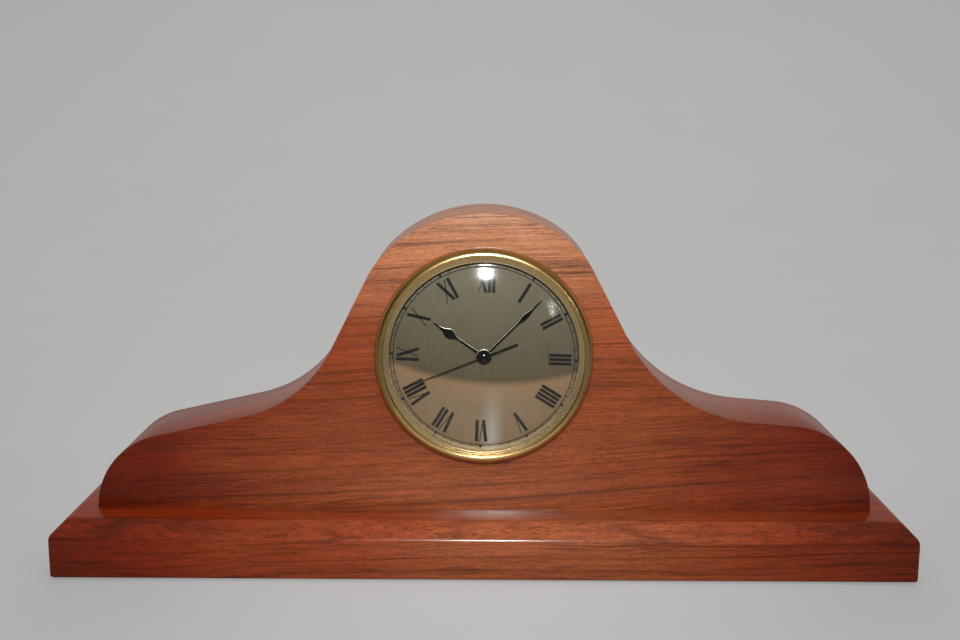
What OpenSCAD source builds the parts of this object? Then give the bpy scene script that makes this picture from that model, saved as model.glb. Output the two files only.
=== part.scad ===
// Tambour mantel clock: a hat-shaped body on a bevelled plinth, with a quartz insert pushed
// into its bore. X runs along the clock, the dial faces -Y, Z = 0 is the underside of the felt.

/* [Plinth] */
// How far the plinth reaches past each end of the body
plinth_side = 15.5; // [8:0.5:30]
// How far the plinth reaches past the body's front and back
plinth_front = 19.25; // [10:0.25:35]
// Thickness of the plinth board
plinth_t = 23.4; // [18:0.2:30]
// Width of the bevel round the plinth's top edge
plinth_bevel = 6.3; // [3:0.1:9]
// Thickness of the felt under the plinth
felt_t = 1; // [0.6:0.1:3]
// How far the felt stops short of the plinth's edges
felt_inset = 4.5; // [1:0.5:10]
// Distance of each base screw from the middle of the clock
screw_x = 80; // [60:1:120]
// Diameter of a base screw's shank
screw_d = 4; // [3:0.1:5]
// Length of a base screw
screw_len = 42; // [36:1:50]

/* [Body board] */
// Length of the body at its foot
body_w = 324; // [300:1:360]
// Thickness of the body board, front to back
body_t = 44.5; // [38:0.5:60]
// Height of the body above the plinth
body_h = 124.8; // [118:0.2:140]
// Radius of the arc over the dial
crown_r = 58.2; // [55:0.2:75]
// Radius of the rounding between that arc and each flank
crown_edge_r = 40; // [5:1:44]
// Height of the left end, where shoulder and end would meet
left_end_h = 25.8; // [22:0.2:32]
// Radius of the left end's rounding
left_end_r = 32; // [10:0.5:33]
// Distance from the middle to the foot of the left flank
left_cove_x = 74.6; // [68:0.2:82]
// Height of the foot of the left flank
left_cove_h = 45.5; // [38:0.1:50]
// Radius of the hollow between left shoulder and flank
left_cove_r = 54; // [20:1:65]
// Distance from the middle to the top of the left flank
left_crown_x = 45.4; // [36:0.2:48]
// Height of the right end, where shoulder and end would meet
right_end_h = 34.2; // [22:0.2:38]
// Radius of the right end's rounding
right_end_r = 35.5; // [10:0.5:38]
// Distance from the middle to the foot of the right flank
right_cove_x = 76; // [68:0.2:82]
// Height of the foot of the right flank
right_cove_h = 41.1; // [38:0.1:50]
// Radius of the hollow between right shoulder and flank
right_cove_r = 65; // [20:1:76]
// Distance from the middle to the top of the right flank
right_crown_x = 41.3; // [36:0.1:48]
// Distance from the top of the body down to the dial's centre
dial_drop = 58.7; // [54:0.1:64]

/* [Bezel and glass] */
// How far the bezel's flange laps over the wood
flange_lap = 4.5; // [4:0.1:8]
// Thickness of the flange that lies on the wood
flange_t = 1.2; // [0.8:0.1:2]
// Width of the flange that shows outside the bead
flange_w = 1.7; // [1:0.1:2.4]
// How far the bead stands in front of the wood
bezel_h = 5; // [4.2:0.1:6.5]
// Radius of the rolled bead
bead_r = 0.9; // [0.6:0.05:1.1]
// Number of fine steps between bead and glass
step_count = 4; // [2:1:6]
// Drop of each step
step_drop = 0.45; // [0.2:0.05:0.5]
// Wall of the spun brass
bezel_wall = 0.8; // [0.6:0.05:1]
// How far the bezel's lip laps over the glass
lip_lap = 0.5; // [0.5:0.1:2]
// Thickness of the bezel's skirt in the bore
skirt_t = 0.3; // [0.25:0.05:0.5]
// Thickness of the glass
lens_t = 1.1; // [0.8:0.1:1.6]
// Rise of the domed glass over its edge
lens_rise = 5; // [4.5:0.1:8]
// Thickness of the gasket behind the glass
gasket_t = 0.5; // [0.3:0.1:1]
// Smallest gap between a hand and the glass
glass_gap = 0.6; // [0.3:0.1:1.5]

/* [Dial and cup] */
// Thickness of the dial
dial_t = 0.5; // [0.3:0.1:1]
// Thickness of the cup's floor behind the dial
cup_floor_t = 2.4; // [2:0.1:3]
// Wall of the cup
cup_wall = 1.5; // [1:0.1:1.6]
// Depth of the cup's skirt behind its floor
cup_depth = 10; // [8:0.5:14]
// Width of the rubber ring round the cup
grip_ring_w = 6.5; // [4:0.5:7.5]
// Number of ribs on the rubber ring
grip_rib_count = 4; // [2:1:5]
// Thickness of the rubber ring under its ribs
grip_ring_t = 0.7; // [0.4:0.1:0.9]
// Height of the rubber ring's ribs
grip_rib_h = 0.9; // [0.5:0.1:1.5]

/* [Hands] */
// Hour shown
show_hour = 10; // [0:1:11]
// Minute shown
show_minute = 7.5; // [0:0.5:59.5]
// Second shown
show_second = 41.4; // [0:0.1:59.9]
// Length of the hour hand from its centre
hour_len = 24.4; // [20:0.2:27]
// Length of the minute hand from its centre
minute_len = 33; // [28:0.2:35]
// Length of the second hand from its centre
second_len = 30; // [26:0.2:35]
// Length of the second hand's tail
second_tail = 15; // [10:0.2:20]
// Thickness of a hand
hand_t = 0.3; // [0.2:0.05:0.5]
// Radius of the round centre of the hour and minute hands
hand_eye_r = 3.2; // [2.9:0.1:4]
// Radius of the cap at the middle of the hands
cap_r = 1.8; // [1.2:0.1:2.6]
// Gap between the dial and the hour hand
hour_hand_gap = 1; // [0.8:0.1:1.2]
// Gap between one hand and the next
hand_gap = 0.7; // [0.6:0.05:0.8]

/* [Movement case] */
// Radius of the movement's corners
mv_corner = 6.1; // [4:0.1:8]
// Gap between the movement's corners and the cup
mv_corner_gap = 0.45; // [0.1:0.05:0.5]
// Room for a contact at each end of the cell
contact_room = 1.05; // [0.9:0.05:2]
// Depth of the movement
mv_depth = 17; // [16.6:0.2:20]
// Wall of the movement's shells
shell_t = 1.2; // [1:0.1:1.4]
// Depth of the front shell
front_shell_d = 3.2; // [2.6:0.1:3.6]
// Diameter of the cell
cell_d = 14.5; // [13.5:0.1:16]
// Length of the cell with its button
cell_len = 50.5; // [48:0.1:54]
// Diameter of the set knob
knob_d = 11; // [8:0.5:12]
// Height of the set knob behind the movement
knob_h = 4; // [3:0.2:6]
// Diameter of a movement screw's shank
mv_screw_d = 2; // [1.6:0.1:2.2]

/* [Going train] */
// Teeth of the rotor's pinion
rotor_teeth = 10; // [8:1:12]
// Teeth of the intermediate wheel
intermediate_teeth = 60; // [50:1:72]
// Teeth of the intermediate wheel's pinion
intermediate_pinion_teeth = 10; // [8:1:12]
// Teeth of the seconds wheel
seconds_teeth = 50; // [40:1:60]
// Teeth of the seconds wheel's pinion
seconds_pinion_teeth = 8; // [7:1:9]
// Teeth of the third wheel
third_teeth = 60; // [54:1:64]
// Teeth of the third wheel's pinion
third_pinion_teeth = 8; // [7:1:10]
// Teeth of the centre wheel
centre_teeth = 64; // [56:1:70]
// Distance from rotor to intermediate wheel
rotor_reach = 7.7; // [7:0.05:8.6]
// Gap between the centre wheel's rim and the intermediate wheel's arbor
intermediate_gap = 0.7; // [0.3:0.05:1.2]
// Distance from third wheel to the centre
third_reach = 8.5; // [7.8:0.05:9.5]

/* [Motion work] */
// Teeth of the cannon pinion
cannon_teeth = 12; // [12:1:14]
// Teeth of the reverser wheel
reverser_teeth = 36; // [32:1:40]
// Teeth of the reverser's pinion
reverser_pinion_teeth = 10; // [9:1:12]
// Teeth of the hour wheel
hour_teeth = 40; // [36:1:44]
// Teeth of the set knob's pinion
knob_teeth = 12; // [10:1:14]
// Distance from the reverser to the centre
reverser_reach = 6; // [5.5:0.05:6.7]
// Face width of a wheel's toothed rim
wheel_t = 0.6; // [0.4:0.05:0.7]
// Face width of a pinion
pinion_t = 1.1; // [0.9:0.05:1.2]
// Radius of the seconds arbor
arbor_r = 0.5; // [0.4:0.05:0.6]
// Wall of the minute and hour tubes
tube_wall = 0.9; // [0.6:0.05:1]

/* [Hidden] */
$fn = 96;

// Clearances shared by the fits, the overshoot of cuts and the angle between an arc's points
running_gap = 0.05;
push_gap = 0.02;
cut = 1;
arc_step = 2.5;

// Derived sizes are rounded to a hundredth, so that faces that meet share one plane
function rounded(size) = round(size * 100) / 100;

// Sizes of the wooden parts
plinth_w = body_w + 2 * plinth_side;
plinth_d = body_t + 2 * plinth_front;
plinth_z = felt_t;
foot_z = plinth_z + plinth_t;
dial_z = foot_z + body_h - dial_drop;

// Tubes, arbors and posts of the movement
cannon_bore_r = arbor_r + running_gap;
cannon_r = cannon_bore_r + tube_wall;
hour_bore_r = cannon_r + running_gap;
hour_tube_r = hour_bore_r + tube_wall;
bush_r = hour_tube_r + running_gap + shell_t;
tail_r = cannon_bore_r + 0.6;
pivot_r = 0.35;
post_r = 1.5;

// Proportions of a tooth in modules, and widths as shares of the pitch
root_depth = 1.15;
tip_height = 0.8;
root_share = 0.6;
tip_share = 0.26;

// Module of a pair of wheels, and the radius over a wheel's teeth
function module_of(reach, teeth_a, teeth_b) = 2 * reach / (teeth_a + teeth_b);
function tip_radius(teeth, mod) = teeth * mod / 2 + tip_height * mod;

rotor_module = module_of(rotor_reach, rotor_teeth, intermediate_teeth);
third_module = module_of(third_reach, seconds_pinion_teeth, third_teeth);
centre_module = module_of(third_reach, third_pinion_teeth, centre_teeth);
centre_tip_r = tip_radius(centre_teeth, centre_module);
third_tip_r = tip_radius(third_teeth, third_module);
intermediate_reach = centre_tip_r + intermediate_gap + pivot_r;
intermediate_module = module_of(intermediate_reach, intermediate_pinion_teeth, seconds_teeth);
cannon_module = module_of(reverser_reach, cannon_teeth, reverser_teeth);
reverser_tip_r = tip_radius(reverser_teeth, cannon_module);
hour_module = module_of(reverser_reach, reverser_pinion_teeth, hour_teeth);
knob_reach = cannon_module * (knob_teeth + reverser_teeth) / 2;

// Places of the arbors round the dial's axis, seen from the front
function polar(reach, angle) = reach * [cos(angle), sin(angle)];
third_angle = 180;
intermediate_angle = 60;
rotor_angle = 20;
reverser_angle = -30;
knob_angle = 0;
third_at = polar(third_reach, third_angle);
intermediate_at = polar(intermediate_reach, intermediate_angle);
rotor_at = intermediate_at + polar(rotor_reach, rotor_angle);
reverser_at = polar(reverser_reach, reverser_angle);
knob_at = reverser_at + polar(knob_reach, knob_angle);

// Battery bay along the bottom of the movement, under the lowest wheel
cell_r = cell_d / 2;
bay_gap = 0.4;
wheel_gap = 0.2;
bay_top_y = -rounded(max(third_tip_r, centre_tip_r, reverser_tip_r - reverser_at[1]))
    - wheel_gap - shell_t;
cell_y = bay_top_y - bay_gap - cell_r;

// Stepping motor: the stator's pole stands round the rotor, the coil lies above it
magnet_r = 2.2;
magnet_proud = 0.35;
stator_t = 1;
stator_window_r = magnet_r + 0.5;
pole_r = 4.6;
coil_len = 23;
coil_r = 3.9;
cheek_r = coil_r + 0.3;
coil_gap = 1.1;
coil_y = rounded(rotor_at[1] + pole_r + coil_gap + cheek_r);
core_w = 3;

// Side of the square movement: it holds the cell's length, the cell under the train, and the coil
mv_size = 2 * shell_t + max(cell_len + 2 * contact_room,
    2 * (cell_r - cell_y + bay_gap + 0.3 * (mv_corner - shell_t)),
    2 * (coil_y + cheek_r + bay_gap));
mv_inner = mv_size / 2 - shell_t;
mv_screw_place = mv_inner - mv_screw_d - 1.4;
mv_column_r = mv_screw_d / 2 + 1.2;
coil_x = mv_screw_place - mv_column_r - wheel_gap - core_w - coil_len / 2;

// Radii outwards from the movement's corners to the bore, and inwards again to the glass
cup_bore_r = rounded(sqrt(2) * (mv_size / 2 - mv_corner) + mv_corner + mv_corner_gap);
cup_r = cup_bore_r + cup_wall;
skirt_r = cup_r + push_gap + grip_ring_t + grip_rib_h;
bore_r = skirt_r + running_gap;
seat_r = skirt_r - skirt_t;
lens_r = seat_r - push_gap;
lip_r = lens_r - lip_lap;
bezel_r = bore_r + flange_lap;
bead_centre_r = bezel_r - flange_w - bead_r;

// Places along the dial's axis: 0 is the face of the wood, plus is towards the viewer
lip_t = bezel_wall;
lip_front_z = bezel_h - step_drop * step_count;
lens_seat_z = lip_front_z - lip_t;
lens_back_z = lens_seat_z - lens_t;
gasket_back_z = lens_back_z - gasket_t;

// Dome of the glass, and the height of its inner face at a radius
dome_edge_r = lip_r - 0.4;
dome_r = (dome_edge_r * dome_edge_r + lens_rise * lens_rise) / (2 * lens_rise);
dome_z = lens_seat_z + lens_rise - dome_r;
function glass_z(r) = dome_z + sqrt(pow(dome_r - lens_t, 2) - r * r);

// Hands over the dial, and the dial as deep as the hands need under the glass
hour_over = hour_hand_gap;
minute_over = hour_over + hand_t + hand_gap;
second_over = minute_over + hand_t + hand_gap;
dial_face_z = rounded(min(glass_z(hour_len) - hour_over, glass_z(minute_len) - minute_over,
    glass_z(second_len) - second_over, gasket_back_z) - hand_t - glass_gap);
hour_hand_z = dial_face_z + hour_over;
minute_hand_z = dial_face_z + minute_over;
second_hand_z = dial_face_z + second_over;
dial_back_z = dial_face_z - dial_t;
cup_back_z = dial_back_z - cup_floor_t;
mv_back_z = cup_back_z - mv_depth;

// Levels in the movement, front to back
motion_level = cup_back_z - shell_t - running_gap * 2;
hour_wheel_z = motion_level - wheel_t;
cannon_wheel_z = hour_wheel_z - pinion_t - wheel_t - 0.1;
plate_t = 1;
plate_z = cannon_wheel_z - 0.3 - plate_t;
centre_wheel_z = plate_z - 0.5 - wheel_t;
third_wheel_z = centre_wheel_z - 0.7 - wheel_t;
seconds_wheel_z = third_wheel_z - 1.1 - wheel_t;
intermediate_wheel_z = seconds_wheel_z - 0.9 - wheel_t;
rear_boss_z = intermediate_wheel_z - 0.6;
back_floor_z = mv_back_z + shell_t;
split_z = cup_back_z - front_shell_d;
rotor_pinion_z = intermediate_wheel_z - 0.3;
stator_z = rotor_pinion_z + pinion_t + 0.15 + magnet_proud;
core_z = stator_z - stator_t;
cell_z = cup_back_z - shell_t - bay_gap - cell_r;

// Moves a piece drawn on the dial's axis to its place: X right, Y up, Z towards the viewer
module on_dial() {
    translate([0, -body_t / 2, dial_z]) rotate([90, 0, 0]) children();
}

// A disc or tube on the dial's axis, from z0 to z1
module ring(r, z0, z1, bore = 0) {
    translate([0, 0, z0]) difference() {
        cylinder(r = r, h = z1 - z0);
        if (bore > 0) translate([0, 0, -cut]) cylinder(r = bore, h = z1 - z0 + 2 * cut);
    }
}

module at(p) {
    translate([p[0], p[1], 0]) children();
}

// ---- Wooden parts -------------------------------------------------------------------------

function unit(v) = v / norm(v);

// Rounding of the corner p, with its neighbours a and b: the tangent point towards a, the
// centre of the arc and the tangent point towards b. The radius is limited by the two edges.
function corner_arc(p, a, b, r) =
    let (u = unit(a - p), v = unit(b - p), half = acos(u * v) / 2,
        reach = min(r / tan(half), norm(a - p), norm(b - p)))
    [p + u * reach, p + unit(u + v) * reach / cos(half), p + v * reach];

// Points along an arc given as its first point, its centre and its last point
function arc_points(arc) =
    let (from = arc[0] - arc[1], to = arc[2] - arc[1], start = atan2(from[1], from[0]),
        swing = atan2(to[1], to[0]) - start,
        turn = swing > 180 ? swing - 360 : swing < -180 ? swing + 360 : swing,
        count = ceil(abs(turn) / arc_step))
    [for (i = [0 : count]) arc[1] + polar(norm(from), start + turn * i / count)];

function flip(points) = [for (i = [len(points) - 1 : -1 : 0]) [-points[i][0], points[i][1]]];

crown_centre = [0, body_h - crown_r];
function crown_point(x) = crown_centre + [x, sqrt(crown_r * crown_r - x * x)];

// Arc that touches the flank below the point crown and the arc over the dial
function crown_edge(flank, crown) =
    let (down = unit(flank - crown), in = [down[1], -down[0]],
        from = crown + in * crown_edge_r - crown_centre, along = from * down,
        slide = -along - sqrt(along * along - from * from + pow(crown_r - crown_edge_r, 2)),
        middle = crown_centre + from + down * slide)
    [middle - in * crown_edge_r, middle, crown_centre + unit(middle - crown_centre) * crown_r];

// One side of the hat, drawn to +X from the foot: the arcs of the end, the hollow and the crown's edge
function side_arcs(end_h, end_r, cove_x, cove_h, cove_r, crown_x) =
    let (foot = [body_w / 2, 0], end = [body_w / 2, end_h], cove = [cove_x, cove_h],
        crown = crown_point(crown_x), hollow = corner_arc(cove, end, crown, cove_r))
    [corner_arc(end, foot, cove, end_r), hollow, crown_edge(hollow[2], crown)];

module body_outline() {
    right = side_arcs(right_end_h, right_end_r, right_cove_x, right_cove_h, right_cove_r, right_crown_x);
    left = side_arcs(left_end_h, left_end_r, left_cove_x, left_cove_h, left_cove_r, left_crown_x);
    foot = [body_w / 2, 0];
    polygon(concat([foot], arc_points(right[0]), arc_points(right[1]), arc_points(right[2]),
        arc_points([right[2][2], crown_centre, flip([left[2][2]])[0]]),
        flip(concat([foot], arc_points(left[0]), arc_points(left[1]), arc_points(left[2])))));
}

module tambour_body() {
    color("sienna") difference() {
        translate([0, body_t / 2, foot_z]) rotate([90, 0, 0]) linear_extrude(body_t) body_outline();
        on_dial() ring(bore_r, -body_t - cut, cut);
        for (side = [-1, 1]) translate([side * screw_x, 0, plinth_z - cut])
            cylinder(d = screw_d + 2 * push_gap, h = screw_len + cut);
    }
}

// Board with a bevel along its two long top edges, drawn across X
module bevelled_section(width) {
    w = width / 2;
    polygon([[-w, 0], [w, 0], [w, plinth_t - plinth_bevel], [w - plinth_bevel, plinth_t],
        [plinth_bevel - w, plinth_t], [-w, plinth_t - plinth_bevel]]);
}

module screw_head_cone(extra = 0) {
    cylinder(r1 = screw_d + extra, r2 = screw_d / 2 + extra, h = screw_d / 2);
}

module base_plinth() {
    color("brown") difference() {
        translate([0, 0, plinth_z]) intersection() {
            translate([0, plinth_d / 2, 0]) rotate([90, 0, 0])
                linear_extrude(plinth_d) bevelled_section(plinth_w);
            translate([-plinth_w / 2, 0, 0]) rotate([90, 0, 90])
                linear_extrude(plinth_w) bevelled_section(plinth_d);
        }
        for (side = [-1, 1]) translate([side * screw_x, 0, plinth_z]) {
            translate([0, 0, -cut]) cylinder(d = screw_d + 2 * running_gap, h = plinth_t + 2 * cut);
            screw_head_cone(running_gap);
        }
    }
}

module felt_pad() {
    w = plinth_w - 2 * felt_inset;
    d = plinth_d - 2 * felt_inset;
    color("darkgreen") translate([-w / 2, -d / 2, 0]) cube([w, d, felt_t]);
}

module base_screws() {
    tip = screw_d;
    slot_w = 0.8;
    color("silver") for (side = [-1, 1]) translate([side * screw_x, 0, plinth_z]) difference() {
        union() {
            screw_head_cone();
            cylinder(d = screw_d, h = screw_len - tip);
            translate([0, 0, screw_len - tip]) cylinder(d1 = screw_d, d2 = 0.6, h = tip - 0.2);
        }
        for (turn = [0, 90]) rotate([0, 0, turn])
            translate([-screw_d / 2, -slot_w / 2, -cut]) cube([screw_d, slot_w, cut + 1.2]);
    }
}

// ---- Bezel, glass and dial ----------------------------------------------------------------

// Half section of the bezel's front, filled down to the wood: radius by height
module bezel_front() {
    bead_z = bezel_h - bead_r;
    step_w = (bead_centre_r - lip_r) / step_count;
    square([bezel_r, flange_t]);
    translate([bead_centre_r - bead_r / 2, 0]) square([bead_r * 1.5, bead_z]);
    translate([bead_centre_r, bead_z]) circle(r = bead_r);
    for (i = [0 : step_count - 1]) translate([lip_r + step_w * i, 0])
        square([bead_centre_r - lip_r - step_w * i, lip_front_z + step_drop * i]);
}

module bezel() {
    hollow_r = bead_centre_r + bead_r - bezel_wall;
    step_w = (bead_centre_r - lip_r) / step_count;
    crimp_z = cup_back_z;
    color("gold") on_dial() rotate_extrude() difference() {
        union() {
            bezel_front();
            translate([0, crimp_z - skirt_t]) square([skirt_r, lens_seat_z - crimp_z + skirt_t]);
        }
        translate([-cut, crimp_z]) square([seat_r + cut, lens_seat_z - crimp_z]);
        translate([-cut, crimp_z - skirt_t - cut]) square([cup_r + push_gap + cut, cut * 2]);
        translate([-cut, 0]) square([lip_r + cut, bezel_h + cut]);
        translate([skirt_r, -cut]) square([hollow_r - skirt_r, cut + lens_seat_z]);
        translate([skirt_r, -cut])
            square([hollow_r - skirt_r - step_w, cut + lens_seat_z + step_drop]);
    }
}

module lens() {
    color("lightcyan", 0.3) on_dial() rotate_extrude() intersection() {
        translate([0, lens_back_z]) square([lens_r, lens_t + lens_rise + cut]);
        union() {
            difference() {
                translate([0, dome_z]) circle(r = dome_r, $fn = 360);
                translate([0, dome_z]) circle(r = dome_r - lens_t, $fn = 360);
                translate([dome_edge_r, -dome_r]) square([dome_r, 3 * dome_r]);
            }
            translate([dome_edge_r - lens_t, lens_back_z])
                square([lens_r - dome_edge_r + lens_t, lens_t]);
        }
    }
}

module lens_gasket() {
    color("dimgray") on_dial() ring(lens_r, gasket_back_z, lens_back_z, lip_r);
}

module sight_ring() {
    front_r = lip_r;
    back_r = front_r - 0.2;
    color("white") on_dial() rotate_extrude()
        polygon([[back_r, dial_face_z], [lens_r, dial_face_z], [lens_r, gasket_back_z],
            [front_r, gasket_back_z]]);
}

module dial() {
    color("darkkhaki") on_dial() ring(lens_r, dial_back_z, dial_face_z, hour_tube_r + 0.4);
}

// ---- Cup and grip ring --------------------------------------------------------------------

module insert_cup() {
    color("dimgray") on_dial() difference() {
        union() {
            ring(lens_r, cup_back_z, dial_back_z);
            ring(cup_r, cup_back_z - cup_depth, cup_back_z, cup_bore_r);
        }
        ring(bush_r + push_gap, cup_back_z - cut, dial_back_z + cut);
        movement_screw_places() ring(mv_screw_d / 2 + push_gap, cup_back_z - cut, dial_back_z - 0.3);
    }
}

module grip_ring() {
    middle_z = cup_back_z - skirt_t - 0.3 - grip_ring_w / 2;
    rib_pitch = grip_ring_w / grip_rib_count;
    base_r = cup_r + push_gap;
    color("black") on_dial() translate([0, 0, middle_z]) rotate_extrude() {
        translate([base_r, -grip_ring_w / 2]) square([grip_ring_t, grip_ring_w]);
        for (i = [0 : grip_rib_count - 1])
            translate([base_r + grip_ring_t, (i + 0.5) * rib_pitch - grip_ring_w / 2])
                polygon([[-0.2, -rib_pitch * 0.4], [skirt_r - base_r - grip_ring_t, -0.15],
                    [skirt_r - base_r - grip_ring_t, 0.15], [-0.2, rib_pitch * 0.4]]);
    }
}

// ---- Movement case ------------------------------------------------------------------------

module rounded_square(size, r) {
    square([size - 2 * r, size], center = true);
    square([size, size - 2 * r], center = true);
    for (x = [-1, 1], y = [-1, 1]) translate([x, y] * (size / 2 - r)) circle(r = r);
}

// Hollow tray of the movement's outline, from z0 to z1
module case_wall(z0, z1) {
    translate([0, 0, z0]) linear_extrude(z1 - z0) difference() {
        rounded_square(mv_size, mv_corner);
        rounded_square(mv_size - 2 * shell_t, mv_corner - shell_t);
    }
}

module case_floor(z0, z1) {
    translate([0, 0, z0]) linear_extrude(z1 - z0) rounded_square(mv_size, mv_corner);
}

// Wall between the battery bay and the train
module bay_wall(z0, z1) {
    translate([-mv_inner, bay_top_y, z0]) cube([2 * mv_inner, shell_t, z1 - z0]);
}

module movement_screw_places() {
    for (side = [-1, 1]) translate([side * mv_screw_place, mv_screw_place, 0]) children();
}

module front_case() {
    floor_back_z = cup_back_z - shell_t;
    color("black") on_dial() difference() {
        union() {
            case_floor(floor_back_z, cup_back_z);
            case_wall(split_z, floor_back_z);
            bay_wall(split_z, floor_back_z);
            ring(bush_r, cup_back_z, dial_back_z);
            movement_screw_places() ring(mv_column_r, split_z, floor_back_z);
        }
        ring(hour_tube_r + running_gap, floor_back_z - cut, dial_back_z + cut);
        movement_screw_places() ring(mv_screw_d / 2 + running_gap, split_z - cut, cup_back_z + cut);
        at(reverser_at) ring(pivot_r + running_gap, floor_back_z - cut, floor_back_z + shell_t / 2);
        at(knob_at) ring(pivot_r + running_gap, floor_back_z - cut, floor_back_z + shell_t / 2);
    }
}

module back_case() {
    color("black") on_dial() difference() {
        union() {
            case_floor(mv_back_z, back_floor_z);
            case_wall(back_floor_z, split_z);
            bay_wall(back_floor_z, split_z);
            movement_screw_places() ring(mv_column_r, back_floor_z, split_z);
            for (p = [[0, 0], third_at, intermediate_at, rotor_at])
                at(p) ring(post_r, back_floor_z, rear_boss_z);
            plate_posts() ring(post_r, back_floor_z, plate_z);
            board_posts() ring(post_r, back_floor_z, board_z());
            stator_posts() ring(post_r, back_floor_z, core_z);
        }
        translate([-mv_inner, -mv_inner, mv_back_z - cut])
            cube([2 * mv_inner, bay_top_y + mv_inner, shell_t + 2 * cut]);
        movement_screw_places() ring(mv_screw_d / 2 + running_gap, mv_back_z - cut, split_z + cut);
        for (p = [[0, 0], third_at, intermediate_at, rotor_at])
            at(p) ring(pivot_r + running_gap, rear_boss_z - 0.9, rear_boss_z + cut);
        at(knob_at) ring(knob_arbor_r() + running_gap, mv_back_z - cut, back_floor_z + cut);
    }
}

function knob_arbor_r() = 1;

module movement_screws() {
    head_t = 1.4;
    slot_w = 0.5;
    color("silver") on_dial() movement_screw_places() difference() {
        union() {
            ring(mv_screw_d / 2, mv_back_z, dial_back_z - 0.4);
            ring(mv_screw_d, mv_back_z - head_t, mv_back_z);
        }
        for (turn = [0, 90]) rotate([0, 0, turn])
            translate([-mv_screw_d * 0.6, -slot_w / 2, mv_back_z - head_t - cut])
                cube([mv_screw_d * 1.2, slot_w, cut + 0.7]);
    }
}

// ---- Train plate and posts ----------------------------------------------------------------

post_inset = post_r + 0.2;
plate_left = third_at[0] - third_tip_r - wheel_gap - post_inset - 0.9;
plate_right = max(rotor_at[0], knob_at[0]) + pole_r + wheel_gap;
plate_top = rotor_at[1] + 2 * post_inset;

module plate_posts() {
    low = bay_top_y + shell_t + post_inset;
    for (p = [[plate_left + post_inset, plate_top - post_inset], [plate_left + post_inset, low],
        [plate_right - post_inset, low]]) at(p) children();
}

module train_plate() {
    bottom = bay_top_y + shell_t + 0.1;
    color("peru") on_dial() difference() {
        translate([plate_left, bottom, plate_z])
            cube([plate_right - plate_left, plate_top - bottom, plate_t]);
        ring(tail_r + running_gap, plate_z - cut, plate_z + plate_t + cut);
        for (p = [third_at, intermediate_at, rotor_at, reverser_at])
            at(p) ring(pivot_r + running_gap, plate_z - cut, plate_z + plate_t + cut);
        at(knob_at) ring(knob_arbor_r() + running_gap, plate_z - cut, plate_z + plate_t + cut);
    }
}

// ---- Stepping motor and electronics -------------------------------------------------------

module stator_outline() {
    left = coil_x - coil_len / 2 - core_w;
    right = coil_x + coil_len / 2;
    bar_y = rotor_at[1] - core_w / 2;
    difference() {
        union() {
            translate([rotor_at[0] - pole_r, rotor_at[1] - pole_r]) square(2 * pole_r);
            translate([left, bar_y]) square([right + core_w - left, core_w]);
            for (x = [left, right]) translate([x, bar_y])
                square([core_w, coil_y + core_w / 2 - bar_y]);
        }
        translate(rotor_at) circle(r = stator_window_r);
    }
}

module stator_posts() {
    for (side = [-1, 1]) translate([coil_x + side * (coil_len + core_w) / 2, coil_y, 0]) children();
}

module stator() {
    color("silver") on_dial() difference() {
        union() {
            translate([0, 0, stator_z]) linear_extrude(stator_t) stator_outline();
            translate([coil_x - coil_len / 2 - core_w, coil_y - core_w / 2, core_z])
                cube([coil_len + 2 * core_w, core_w, stator_t]);
        }
        at(intermediate_at) ring(post_r + 0.6, stator_z - cut, stator_z + stator_t + cut);
    }
}

module along_coil() {
    translate([coil_x - coil_len / 2, coil_y, core_z + stator_t / 2]) rotate([0, 90, 0]) children();
}

module coil_bobbin() {
    cheek = 0.9;
    core_hole = [stator_t + 2 * push_gap, core_w + 2 * push_gap, coil_len + 2 * cut];
    color("white") on_dial() along_coil() difference() {
        union() {
            cylinder(r = core_w / 2 + 0.9, h = coil_len);
            for (z = [0.1, coil_len - cheek - 0.1]) translate([0, 0, z])
                cylinder(r = cheek_r, h = cheek);
        }
        translate([-core_hole[0] / 2, -core_hole[1] / 2, -cut]) cube(core_hole);
        for (z = [-cut, coil_len - 0.1]) translate([-coil_r * 2, -coil_r * 2, z])
            cube([coil_r * 4, coil_r * 4, cut + 0.1]);
    }
}

module coil_winding() {
    cheek = 1;
    color("orangered") on_dial() along_coil() translate([0, 0, cheek + push_gap])
        ring(coil_r, 0, coil_len - 2 * cheek - 2 * push_gap, core_w / 2 + 0.9 + push_gap);
}

can_r = 1;
crystal_y = plate_top - post_inset + post_r + can_r + 0.5;
board_left = -mv_inner + 1.1;
board_w = 15;
board_t = 1;
board_bottom = bay_top_y + shell_t + 0.35;
board_top = crystal_y + can_r + 1.1;
function board_z() = back_floor_z + 1.2;

module board_posts() {
    for (y = [board_bottom + post_r, board_top - post_r])
        translate([board_left + post_r + 0.4, y, 0]) children();
}

module circuit_board() {
    post_clear = post_r + 0.3;
    color("darkgreen") on_dial() difference() {
        translate([board_left, board_bottom, board_z()])
            cube([board_w, board_top - board_bottom, board_t]);
        plate_posts() ring(post_clear, board_z() - cut, board_z() + board_t + cut);
    }
}

module driver_chip() {
    color("black") on_dial() translate([board_left + board_w / 2, 0, board_z() + board_t])
        cylinder(r1 = 3, r2 = 2.2, h = 0.9);
}

module quartz_crystal() {
    can_len = 6;
    color("silver") on_dial()
        translate([board_left + 2 * can_len / 3, crystal_y, board_z() + board_t + can_r])
        rotate([0, 90, 0]) cylinder(r = can_r, h = can_len);
}

contact_t = 0.4;
button_len = 1;
button_r = 2.7;
contact_w = 2 * min(cell_r - 2.5, cell_y + mv_size / 2 - mv_corner - 0.1);
cell_left = -cell_len / 2 - button_len / 4;
cell_right = cell_left + cell_len;

module contact_plate() {
    cube([contact_t, contact_w, contact_w]);
}

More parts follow.
